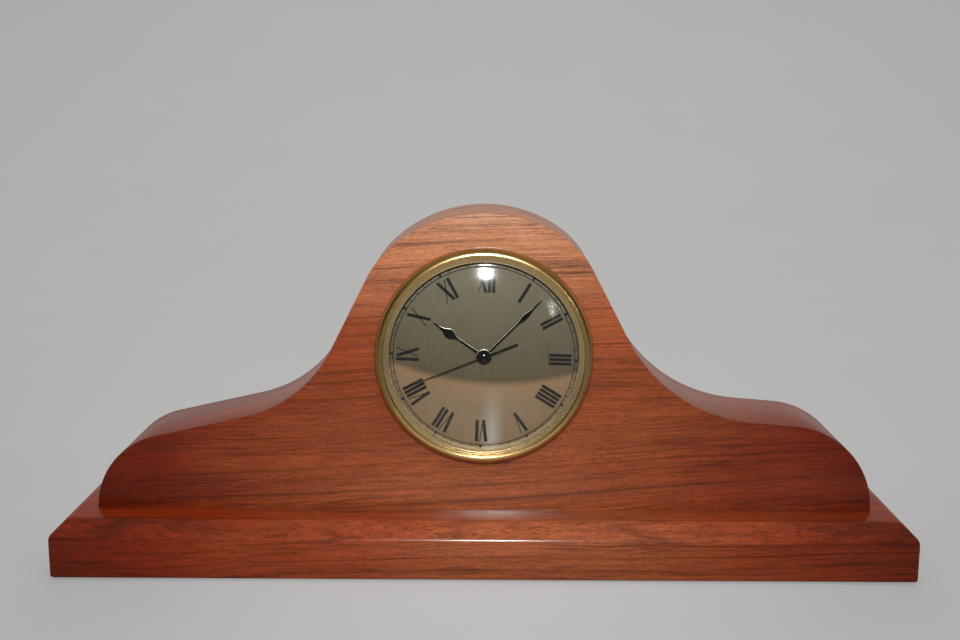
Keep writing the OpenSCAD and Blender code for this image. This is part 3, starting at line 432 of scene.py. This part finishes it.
def plain_finish(name, low, high, grain=0.8, roughness=0.4, relief=0.01, metallic=0.0):
    """A plain finish: two close tones in a fine cloud, and the relief of its making."""
    material, shader, place = new_finish(name)
    cloud = place.noise((grain * 0.1,) * 3, 3.0, 0.6)
    fine = place.noise((grain * 4,) * 3, 2.0, 0.5)
    place.feed(shader, "Base Color", cloud.tint(colour(*low), colour(*high)))
    place.feed(shader, "Roughness", fine * 0.1 + (roughness - 0.05))
    shader.inputs["Metallic"].default_value = metallic
    place.feed(shader, "Normal", place.bump(fine, relief))
    return material


def dress(material, *names):
    """Gives CAD nodes that are shown as they are their material."""
    for name in names:
        nodes[name].material_slots[0].material = material


dress(plain_finish("clear_vinyl", (150, 142, 122), (166, 158, 138), 1.0, 0.35), "lens_gasket")
dress(plain_finish("champagne_ring", (158, 142, 112), (176, 160, 130), 1.0, 0.3), "sight_ring")

# ---- Dial -----------------------------------------------------------------------------------
# A disc of brass 0.5 mm thick, brushed upright and lacquered, champagne in colour; it was
# pressed in a shade clockwise of upright. It lies on the floor of the cup.
dial_turn = math.radians(1.9)
dial_brass, dial_shader, sheet = new_finish("brushed_dial")
upright = sheet.node("Mapping", {}, {"Vector": sheet, "Rotation": (0, -dial_turn, 0)})
brushing = upright.noise((5.5, 0.0, 0.09), 3.0, 0.65)
scratch = upright.noise((14.0, 0.0, 0.25), 2.0, 0.6, (4, 0, 9))
stain = upright.noise((0.05, 0.0, 0.05), 3.0, 0.6, (2, 0, 2))
height = upright.node("SeparateXYZ", {}, {0: upright}, "Z")
width = upright.node("SeparateXYZ", {}, {0: upright}, "X")
# Painted reflection: above a curved edge under the centre the dial darkens, and below it it turns
# a warm tan, as the room and the table show in it.
reflection_under, reflection_curve = 11.8, 0.0045
below = axis_z / MM - reflection_under + width * width * reflection_curve - height
painted_reflection = (below * 0.34 + 0.5).clamped()
upper_darkening = (1.0 + below * 0.036).clamped()
upper = upper_darkening.tint(colour(102, 95, 82), colour(84, 67, 47))
lower = (below * 0.10).clamped().tint(colour(172, 132, 96), colour(150, 118, 90))
tone = painted_reflection.tint(upper, lower)
toned = (stain * 0.3).tint(tone, colour(98, 88, 70))
brushed = ((brushing - 0.5) * 1.8 + 0.5).clamped().tint(toned, colour(206, 190, 160))
softly = sheet.node("Mix", {"data_type": "RGBA"}, {0: 0.78, 6: brushed, 7: toned}, 2)
# Painted reflection: a pale upright streak below the centre.
painted_streak_x = 1.5
beside = width - painted_streak_x
painted_streak = (1.0 - beside.math("ABSOLUTE", beside) * 0.19).clamped() * (below * 0.045).clamped()
sheet.feed(dial_shader, "Base Color", (painted_streak * 0.7).tint(softly, colour(206, 202, 196)))
dial_shader.inputs["Metallic"].default_value = 0.75
sheet.feed(dial_shader, "Roughness", 0.30 + brushing * 0.16)
sheet.feed(dial_shader, "Normal", sheet.bump(brushing + scratch * 0.6, 0.012))
dress(dial_brass, "dial")

# ---- Printed track and numerals ---------------------------------------------------------------
# Black enamel screened on the dial: a railway minute track with a bold bar at each hour, and
# upright condensed Roman numerals with their feet to the centre. The screen sat half a
# millimetre low.
ink_t, print_drop = 0.03, 0.5
ink_low = over_wood("dial")[1] + 0.01
ink_high = ink_low + ink_t
track_in, track_out, line_w, minute_w, hour_w, hour_past = 37.4, 38.72, 0.34, 0.3, 0.95, 0.12
thick_w, thin_w, foot_r, head_r, side_gap = 1.3, 0.38, 26.8, 36.0, 0.78


def ink_bar(name, x0, z0, x1, z1, width):
    """A printed bar from one point to another, in mm right of and over the dial's centre."""
    bpy.ops.object.select_all(action="DESELECT")
    at = (axis_x + (x0 + x1) / 2 * MM, wood_front - ink_low * MM, axis_z + (z0 + z1) / 2 * MM)
    lean = math.atan2(x1 - x0, z1 - z0)
    bpy.ops.mesh.primitive_plane_add(size=MM, location=at, rotation=(math.pi / 2, 0, 0))
    piece = bpy.context.active_object
    piece.name = piece.data.name = name
    bpy.ops.object.transform_apply(location=False, rotation=True, scale=False)
    piece.scale = (width, 1, math.hypot(x1 - x0, z1 - z0))
    bpy.ops.object.transform_apply(location=False, rotation=False, scale=True)
    bpy.ops.object.mode_set(mode="EDIT")
    bpy.ops.mesh.select_all(action="SELECT")
    step = (0, -ink_t * MM, 0)
    bpy.ops.mesh.extrude_region_move(TRANSFORM_OT_translate={"value": step})
    bpy.ops.mesh.select_all(action="SELECT")
    bpy.ops.mesh.normals_make_consistent(inside=False)
    bpy.ops.object.mode_set(mode="OBJECT")
    piece.rotation_euler.y = lean
    bpy.ops.object.transform_apply(location=True, rotation=True, scale=True)
    return piece


def joined(name, pieces):
    """Several pieces made one."""
    bpy.ops.object.select_all(action="DESELECT")
    for piece in pieces:
        piece.select_set(True)
    bpy.context.view_layer.objects.active = pieces[0]
    if len(pieces) > 1:
        bpy.ops.object.join()
    pieces[0].name = pieces[0].data.name = name
    return pieces[0]


def turn_on_axis(piece, angle, drop=0.0):
    """Turns a finished piece clockwise round the dial's axis, as seen from the front, and sets
    it lower by drop in mm."""
    bpy.ops.object.select_all(action="DESELECT")
    piece.select_set(True)
    bpy.context.view_layer.objects.active = piece
    bpy.context.scene.cursor.location = (axis_x, 0, axis_z)
    bpy.ops.object.origin_set(type="ORIGIN_CURSOR")
    piece.rotation_euler.y = angle
    piece.location.z -= drop * MM
    bpy.ops.object.transform_apply(location=True, rotation=True, scale=True)
    return piece


def round_the_dial(piece, count):
    """Copies a mark round the dial's axis, count in all."""
    bpy.ops.object.select_all(action="DESELECT")
    piece.select_set(True)
    bpy.context.view_layer.objects.active = piece
    bpy.ops.object.mode_set(mode="EDIT")
    bpy.ops.mesh.select_all(action="SELECT")
    bpy.ops.mesh.spin(steps=count - 1, dupli=True, angle=2 * math.pi * (count - 1) / count,
        center=(axis_x, 0, axis_z), axis=(0, 1, 0))
    bpy.ops.object.mode_set(mode="OBJECT")
    return piece


enamel, enamel_shader, print_place = new_finish("screened_enamel")
enamel_shader.inputs["Specular IOR Level"].default_value = 0.25
density = print_place.noise((0.7, 0.7, 0.7), 3.0, 0.6)
print_place.feed(enamel_shader, "Base Color", density.tint(colour(5, 5, 6), colour(16, 16, 17)))
print_place.feed(enamel_shader, "Roughness", 0.35 + density * 0.2)
print_place.feed(enamel_shader, "Normal", print_place.bump(density, 0.004))

lines = []
for middle in (track_in, track_out):
    inner, outer = middle - line_w / 2, middle + line_w / 2
    section = [(inner, ink_low), (inner, ink_high), (outer, ink_high), (outer, ink_low),
        (inner, ink_low)]
    lines.append(turned("track_line", section, 192))
minute = round_the_dial(ink_bar("minute_mark", 0, track_in, 0, track_out, minute_w), 60)
hour = round_the_dial(
    ink_bar("hour_mark", 0, track_in - hour_past, 0, track_out + hour_past, hour_w), 12)
track = turn_on_axis(joined("minute_track", [*lines, minute, hour]), dial_turn, print_drop)
finish_piece(track, enamel, "black_enamel", "insert")

glyphs = {"I": 1.73, "V": 3.55, "X": 4.25}
for hour_number, letters in enumerate(
        ["I", "II", "III", "IIII", "V", "VI", "VII", "VIII", "IX", "X", "XI", "XII"], 1):
    cursor, strokes = -sum(glyphs[letter] for letter in letters) / 2, []
    for letter in letters:
        half = glyphs[letter] / 2
        middle = cursor + half
        reach = half - side_gap
        if letter == "I":
            strokes.append((middle, head_r, middle, foot_r, thick_w))
        elif letter == "V":
            strokes.append((middle - reach * 1.25, head_r, middle, foot_r, thick_w))
            strokes.append((middle + reach * 1.35, head_r, middle + 0.1, foot_r, thin_w))
        else:
            strokes.append((middle - reach * 1.2, head_r, middle + reach * 1.2, foot_r, thick_w))
            strokes.append((middle + reach * 1.3, head_r, middle - reach * 1.3, foot_r, thin_w))
        cursor += 2 * half
    bars = [ink_bar("stroke", *stroke) for stroke in strokes]
    numeral = joined(f"numeral_{hour_number:02d}", bars)
    turn_on_axis(numeral, dial_turn + math.radians(30 * hour_number), print_drop)
    finish_piece(numeral, enamel, "black_enamel", "insert")

# ---- Hands ----------------------------------------------------------------------------------
# Pressed from thin brass and enamelled glossy black: a pear hour hand and a leaf minute hand,
# with a painted highlight of bare bright metal on their upward-turned edges, and a thin second
# hand with its tail. Their eyes are pressed on the tubes, and a cap hides the arbor.
pressing_t, eye_r, crown_r = 0.3, 3.2, 0.2


def blade(name, stations, low, high, crowned_to=0):
    """A flat hand that points to twelve, from low to high over the wood. A station is a distance
    from the centre and half the hand's width there, in mm. Its front edges are crowned as far
    out as crowned_to."""
    bpy.ops.object.select_all(action="DESELECT")
    start, half = stations[0]
    root = 0.1
    at = (axis_x, wood_front - (low + high) / 2 * MM, axis_z + (start + root / 2) * MM)
    bpy.ops.mesh.primitive_cube_add(size=MM, location=at)
    piece = bpy.context.active_object
    piece.name = piece.data.name = name
    piece.scale = (2 * half, high - low, root)
    bpy.ops.object.transform_apply(location=True, rotation=True, scale=True)
    top = max(vertex.co.z for vertex in piece.data.vertices) - 1e-7
    for vertex in piece.data.vertices:
        vertex.select = vertex.co.z > top
    for edge in piece.data.edges:
        edge.select = all(piece.data.vertices[v].co.z > top for v in edge.vertices)
    for face in piece.data.polygons:
        face.select = face.center.z > top
    bpy.ops.object.mode_set(mode="EDIT")
    bpy.context.tool_settings.mesh_select_mode = (False, False, True)
    reach = start + root
    for next_reach, next_half in stations[1:]:
        step = (0, 0, (next_reach - reach) * MM)
        bpy.ops.mesh.extrude_region_move(TRANSFORM_OT_translate={"value": step})
        bpy.ops.transform.resize(value=(next_half / half, 1, 1), center_override=(axis_x, 0, 0))
        reach, half = next_reach, next_half
    bpy.ops.mesh.select_all(action="SELECT")
    bpy.ops.mesh.normals_make_consistent(inside=False)
    bpy.context.tool_settings.mesh_select_mode = (True, False, False)
    bpy.ops.object.mode_set(mode="OBJECT")
    if crowned_to:
        front = wood_front / MM - high + 0.02
        eased(piece, crown_r, lambda at: at.y < front and start + root / 2
            < at.z - axis_z / MM < crowned_to and abs(at.x - axis_x / MM) > 0.3, 3)
    return piece


def eye(name, inner, outer, low, high):
    """The round middle of a hand, with its upper edge rolled over."""
    rim = 0.26
    profile = [(inner, low), (outer, low)]
    profile += arc((outer - rim, high - rim), rim, 0, 90, 3) + [(inner, high), (inner, low)]
    return turned(name, profile, 64)


def paint_edge_glint(piece):
    """Writes on each face its share of painted highlight, bare bright metal: 1 on an edge that is
    turned upwards.
    """
    shares = [min(max((face.normal.z - 0.06) * 12, 0), 1)
        * min(max((0.99 - abs(face.normal.y)) * 40, 0), 1) for face in piece.data.polygons]
    rubbed = piece.data.attributes.new("rubbed", "FLOAT", "FACE")
    rubbed.data.foreach_set("value", shares)


hand_enamel, hand_shader, hand_place = new_finish("hand_enamel")
orange_peel = hand_place.noise((1.2, 1.2, 1.2), 2.0)
glint_mask = hand_place.node("Attribute", {"attribute_name": "rubbed"}, out="Fac")
peel = orange_peel.tint(colour(5, 5, 6), colour(12, 12, 14))
# Painted highlight: bare bright metal on the upward-turned edges.
hand_place.feed(hand_shader, "Base Color", glint_mask.tint(peel, colour(214, 206, 190)))
hand_place.feed(hand_shader, "Metallic", glint_mask)
hand_place.feed(hand_shader, "Roughness", 0.12 + orange_peel * 0.10 + glint_mask * 0.24)
hand_shader.inputs["Specular IOR Level"].default_value = 0.4
hand_place.feed(hand_shader, "Normal", hand_place.bump(orange_peel, 0.006))

hour_high = over_wood("hour_hand")[1]
hour_low = hour_high - pressing_t
pear = [(2.6, 0.68), (6.0, 0.62), (10.0, 0.58), (13.2, 0.60), (14.0, 0.80), (14.7, 1.30),
    (15.5, 1.80), (16.4, 2.10), (17.2, 2.13), (18.0, 1.93), (18.8, 1.47), (19.7, 0.97),
    (20.8, 0.67), (22.4, 0.45), (25.0, 0.10)]
hour_angle = math.radians(303.75)
hour_parts = [eye("hour_eye", 2.45, eye_r, hour_low, hour_high),
    turn_on_axis(blade("hour_blade", pear, hour_low, hour_high, 22.5), hour_angle)]
hour_hand = joined("hour_hand_pressing", hour_parts)
smooth(hour_hand, 40)
paint_edge_glint(hour_hand)
finish_piece(hour_hand, hand_enamel, "black_enamel", "hour", "hour_hand")

minute_high = over_wood("minute_hand")[1]
minute_low = minute_high - pressing_t
leaf = [(2.6, 0.52), (10.0, 0.48), (19.0, 0.45), (20.2, 0.54), (21.4, 0.79), (22.6, 1.02),
    (23.6, 1.09), (24.8, 1.01), (26.0, 0.79), (27.2, 0.55), (28.8, 0.38), (33.4, 0.09)]
minute_angle = math.radians(45)
minute_parts = [eye("minute_eye", 1.5, eye_r, minute_low, minute_high),
    turn_on_axis(blade("minute_blade", leaf, minute_low, minute_high, 28.9), minute_angle)]
minute_hand = joined("minute_hand_pressing", minute_parts)
smooth(minute_hand, 40)
paint_edge_glint(minute_hand)
finish_piece(minute_hand, hand_enamel, "black_enamel", "minute", "minute_hand")

second_high = over_wood("second_hand")[1]
second_low = second_high - pressing_t
sweep = [(-15.0, 0.40), (-6.0, 0.40), (-2.0, 0.32), (2.0, 0.27), (12.0, 0.24), (30.0, 0.17)]
second_angle = math.radians(248.4)
second_parts = [eye("second_eye", 0.5, 1.7, second_low, second_high),
    turn_on_axis(blade("second_blade", sweep, second_low, second_high), second_angle)]
second_hand = joined("second_hand_pressing", second_parts)
smooth(second_hand, 40)
second_gloss = plain_finish("second_gloss", (6, 6, 7), (16, 15, 15), 1.2, 0.2, 0.006)
finish_piece(second_hand, second_gloss, "black_enamel", "seconds", "second_hand")

cap_low, cap_high = over_wood("hand_cap")
cap_r = (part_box("hand_cap")[1].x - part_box("hand_cap")[0].x) / 2 / MM
cap_wall, cap_chamfer, cap_bore = 0.35, 0.1, 0.3
cap_profile = [(cap_bore, cap_low), (cap_r - cap_chamfer, cap_low), (cap_r, cap_low + cap_chamfer)]
cap_rise = cap_high - cap_low - cap_wall
cap_profile += [(cap_r * math.cos(math.radians(a)), cap_low + cap_wall + cap_rise
    * math.sin(math.radians(a))) for a in (0, 15, 30, 45, 60, 72, 82)]
cap = turned("arbor_cap", cap_profile, 64, "TRIFAN")
smooth(cap, 50)
cap_gloss = plain_finish("cap_gloss", (5, 5, 6), (13, 13, 15), 1.2, 0.14, 0.006)
finish_piece(cap, cap_gloss, "black_enamel", "seconds", "hand_cap")

# ---- Cup, grip ring and movement case -------------------------------------------------------
# Black plastic mouldings with a fine spark-eroded grain; the ribbed ring round the cup is black
# rubber, and grips the bore when the insert is pushed in.
dress(plain_finish("moulded_black", (20, 20, 21), (31, 31, 33), 1.2, 0.42, 0.02),
    "insert_cup", "front_case", "back_case")
dress(plain_finish("knob_black", (24, 24, 25), (38, 38, 40), 1.2, 0.36, 0.015), "set_knob")
dress(plain_finish("grip_rubber", (18, 18, 18), (32, 31, 30), 1.5, 0.7, 0.03), "grip_ring")

# ---- Screws ---------------------------------------------------------------------------------
# Bright zinc-plated steel: two long wood screws up through the plinth, and two small screws that
# hold the movement to the cup. The battery contacts are pressed from the same plated steel.
dress(plain_finish("zinc_plate", (176, 180, 186), (205, 208, 212), 1.5, 0.25, 0.01, 1.0),
    "base_screws", "movement_screws", "contact_positive", "contact_negative")

# ---- Going train and motion work ------------------------------------------------------------
# The wheels are moulded with their arbors in white and in natural acetal, and run in the front
# case and in the plate behind it. The tubes of the motion work reach through the dial.
dress(plain_finish("white_acetal", (228, 227, 220), (240, 239, 233), 1.0, 0.35),
    "intermediate_wheel", "centre_wheel", "reverser_wheel", "hour_wheel", "coil_bobbin")
dress(plain_finish("natural_acetal", (216, 206, 182), (230, 221, 198), 1.0, 0.38),
    "train_plate", "third_wheel", "seconds_wheel", "cannon_pinion", "rotor_pinion")

# ---- Motor and circuit ----------------------------------------------------------------------
# A laminated iron core with a coil of enamelled copper wire drives the magnet of the rotor; the
# green board carries the chip under its drop of resin and the quartz crystal in its can.
dress(plain_finish("core_iron", (140, 142, 146), (168, 169, 172), 1.2, 0.35, 0.01, 1.0), "stator")
dress(plain_finish("magnet_ferrite", (44, 44, 47), (62, 62, 65), 1.4, 0.5), "rotor_magnet")
dress(plain_finish("solder_green", (24, 84, 48), (36, 108, 62), 1.0, 0.35), "circuit_board")
dress(plain_finish("drop_resin", (14, 14, 15), (26, 26, 27), 1.0, 0.25), "driver_chip")
dress(plain_finish("crystal_can", (186, 184, 176), (208, 206, 198), 1.2, 0.22, 0.01, 1.0),
    "quartz_crystal")
copper, copper_shader, wire = new_finish("copper_winding")
turns = wire.node("SeparateXYZ", {}, {0: wire}, "X")
radians_per_mm = 40.0
rows = turns.math("SINE", turns * radians_per_mm)
wire.feed(copper_shader, "Base Color", (rows * 0.5 + 0.5).tint(colour(146, 62, 26),
    colour(206, 108, 58)))
copper_shader.inputs["Roughness"].default_value = 0.3
copper_shader.inputs["Metallic"].default_value = 0.8
wire.feed(copper_shader, "Normal", wire.bump(rows, 0.03))
dress(copper, "coil_winding")

# ---- Cell -----------------------------------------------------------------------------------
# An alkaline AA cell in a plain wrapped jacket, copper over the end with the button and steel
# at both ends. It lies across the case and is pressed in between its contacts.
jacket, jacket_shader, wrap = new_finish("cell_jacket")
cell_low, cell_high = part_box("battery_cell")
cell_len = (cell_high.x - cell_low.x) / MM
along = (wrap.node("SeparateXYZ", {}, {0: wrap}, "X") - cell_low.x / MM) / cell_len
bare = along.node("ValToRGB", {"stops": [(0.0, (1, 1, 1, 1)), (0.018, (0, 0, 0, 1)),
    (0.955, (0, 0, 0, 1)), (0.962, (1, 1, 1, 1))]}, {0: along})
copper_end = ((along - 0.70) * 200.0).clamped()
printed = wrap.noise((0.1, 0.1, 0.1), 2.0)
paint_tone = copper_end.tint(colour(24, 24, 27), colour(176, 104, 58))
wrap.feed(jacket_shader, "Base Color", bare.tint(paint_tone, colour(196, 196, 194)))
wrap.feed(jacket_shader, "Roughness", 0.24 + printed * 0.08)
wrap.feed(jacket_shader, "Metallic", bare)
dress(jacket, "battery_cell")

# ---- Floor, lamps and camera ----------------------------------------------------------------
# A pale sweep behind the clock, soft lamps overhead, behind and at both sides in front, a strip
# that the glass shows as a window, and a small lamp over the camera that puts the bright spot on
# it. Only the last two show in reflections, with the sweep far behind and close in front: there
# the sweep glows for reflections alone, a painted reflection, dim and warm far behind and a bright
# patch close in front that stands for a lit table top.
bpy.ops.object.select_all(action="DESELECT")
bpy.ops.mesh.primitive_plane_add(size=6, location=(0, -1, 0))
floor = bpy.context.active_object
floor.name = "pale_sweep"
bpy.ops.object.transform_apply(location=True, rotation=True, scale=True)
for edge in floor.data.edges:
    edge.select = all(floor.data.vertices[v].co.y > 1.9 for v in edge.vertices)
for vertex in floor.data.vertices:
    vertex.select = vertex.co.y > 1.9
floor.data.polygons[0].select = False
bpy.context.tool_settings.mesh_select_mode = (False, True, False)
bpy.ops.object.mode_set(mode="EDIT")
bpy.ops.mesh.extrude_region_move(TRANSFORM_OT_translate={"value": (0, 0.4, 3.5)})
bpy.ops.object.mode_set(mode="OBJECT")
for edge in floor.data.edges:
    ends = [floor.data.vertices[v].co for v in edge.vertices]
    edge.select = all(1.9 < end.y < 2.1 and end.z < 0.1 for end in ends)
bpy.ops.object.mode_set(mode="EDIT")
bpy.ops.mesh.bevel(offset=1.1, segments=24, affect="EDGES")
bpy.ops.object.mode_set(mode="OBJECT")
bpy.context.tool_settings.mesh_select_mode = (True, False, False)
smooth(floor, 30)
sweep_paper, paper_shader, paper = new_finish("sweep_paper")
paper.feed(paper_shader, "Base Color", paper.noise((0.01, 0.01, 0.01), 2.0).tint(
    colour(128, 127, 126), colour(134, 133, 132)))
paper_shader.inputs["Roughness"].default_value = 0.9
by_eye = paper.node("LightPath", out="Is Camera Ray")
by_shine = paper.node("LightPath", out="Is Glossy Ray")
# Painted reflection: for glossy rays the sweep glows warm far behind and bright in a patch in
# front.
far = (paper.node("SeparateXYZ", {}, {0: paper}, "Y") * 0.002 - 0.4).clamped()
aside = paper.node("SeparateXYZ", {}, {0: paper}, "X") * 0.8
ahead = paper.node("SeparateXYZ", {}, {0: paper}, "Y") + 165.0
patch = (1.9 - (aside * aside + ahead * ahead) ** 0.5 / 48.0).clamped() * 0.5
shine = patch.tint(far.tint((0, 0, 0, 1), colour(148, 122, 114)), colour(255, 250, 244))
glowing = by_shine.tint((0, 0, 0, 1), shine)
paper.feed(paper_shader, "Emission Color", by_eye.tint(glowing, colour(142, 142, 142)))
paper_shader.inputs["Emission Strength"].default_value = 1.0
floor.data.materials.append(sweep_paper)


def lamp(name, at, towards, size, watts, mirrored=False):
    data = bpy.data.lights.new(name, "AREA")
    data.shape, data.size, data.size_y, data.energy = "RECTANGLE", size[0], size[1], watts
    stand = bpy.data.objects.new(name, data)
    bpy.context.scene.collection.objects.link(stand)
    stand.location = at
    stand.rotation_euler = (Vector(towards) - Vector(at)).to_track_quat("-Z", "Y").to_euler()
    stand.visible_glossy = mirrored
    return stand


lamp("overhead", (0.1, -0.3, 1.9), (0, 0, 0.05), (1.6, 1.2), 11)
lamp("front_left", (-1.3, -1.4, 1.0), (0, 0, 0.08), (0.9, 0.9), 2.4)
lamp("front_right", (1.4, -1.3, 0.9), (0, 0, 0.08), (0.9, 0.9), 2.4)
lamp("behind", (0.0, 1.5, 1.3), (0, 0, 0.08), (1.8, 0.8), 11)
lamp("window_strip", (0.63, -1.36, 0.27), (0, 0, 0.1), (0.016, 0.17), 0.3, True)
beam = bpy.data.lights.new("over_camera", "SPOT")
beam.energy, beam.spot_size, beam.spot_blend = 14.0, math.radians(42), 1.0
beam.shadow_soft_size = 0.014
over_camera = bpy.data.objects.new("over_camera", beam)
bpy.context.scene.collection.objects.link(over_camera)
over_camera.location = (0.004, -0.56, 0.31)
over_camera.rotation_euler = (Vector((0.0, 0.0, 0.10)) - over_camera.location).to_track_quat(
    "-Z", "Y").to_euler()

world = bpy.data.worlds.new("studio")
bpy.context.scene.world = world
world.use_nodes = True
tree = world.node_tree
tree.nodes.clear()
air = Shade(tree)
towards = air.node("TexCoord", out="Generated")
away = towards.node("SeparateXYZ", {}, {0: towards}, "Y")
behind_it = (away * 1.6 + 0.55).clamped()
overhead = (towards.node("SeparateXYZ", {}, {0: towards}, "Z") * 3.0 - 1.2).clamped()
level = behind_it.tint(colour(62, 58, 54), colour(178, 160, 150))
reflected = overhead.tint(level, colour(128, 112, 96))
camera_ray = air.node("LightPath", out="Is Camera Ray")
glossy_ray = air.node("LightPath", out="Is Glossy Ray")
through_ray = air.node("LightPath", out="Is Transmission Ray")
seen = camera_ray.math("MAXIMUM", camera_ray, glossy_ray)
seen = seen.math("MAXIMUM", seen, through_ray)
backdrop = camera_ray.tint(reflected, colour(204, 204, 206))
ambient = air.node("Background", {}, {"Color": (1, 1, 1, 1), "Strength": 0.30})
pale = air.node("Background", {}, {"Color": backdrop, "Strength": 1.0})
sky = air.node("MixShader", {}, {0: seen, 1: ambient, 2: pale})
world_out = tree.nodes.new("ShaderNodeOutputWorld")
tree.links.new(sky.socket, world_out.inputs["Surface"])

camera_data = bpy.data.cameras.new("camera")
camera_data.lens, camera_data.sensor_width = 46.875, 36
camera_data.clip_start = 0.01
camera = bpy.data.objects.new("camera", camera_data)
bpy.context.scene.collection.objects.link(camera)
camera.location = (0.0022, -0.525, 0.1964)
yaw, pitch, roll = 0.0076, math.pi / 2 - 0.1788, 0.0029
camera.rotation_mode = "QUATERNION"
camera.rotation_quaternion = (Quaternion((0, 0, 1), yaw) @ Quaternion((1, 0, 0), pitch)
    @ Quaternion((0, 0, 1), roll))
bpy.context.scene.camera = camera
bpy.context.scene.view_settings.view_transform = "Standard"
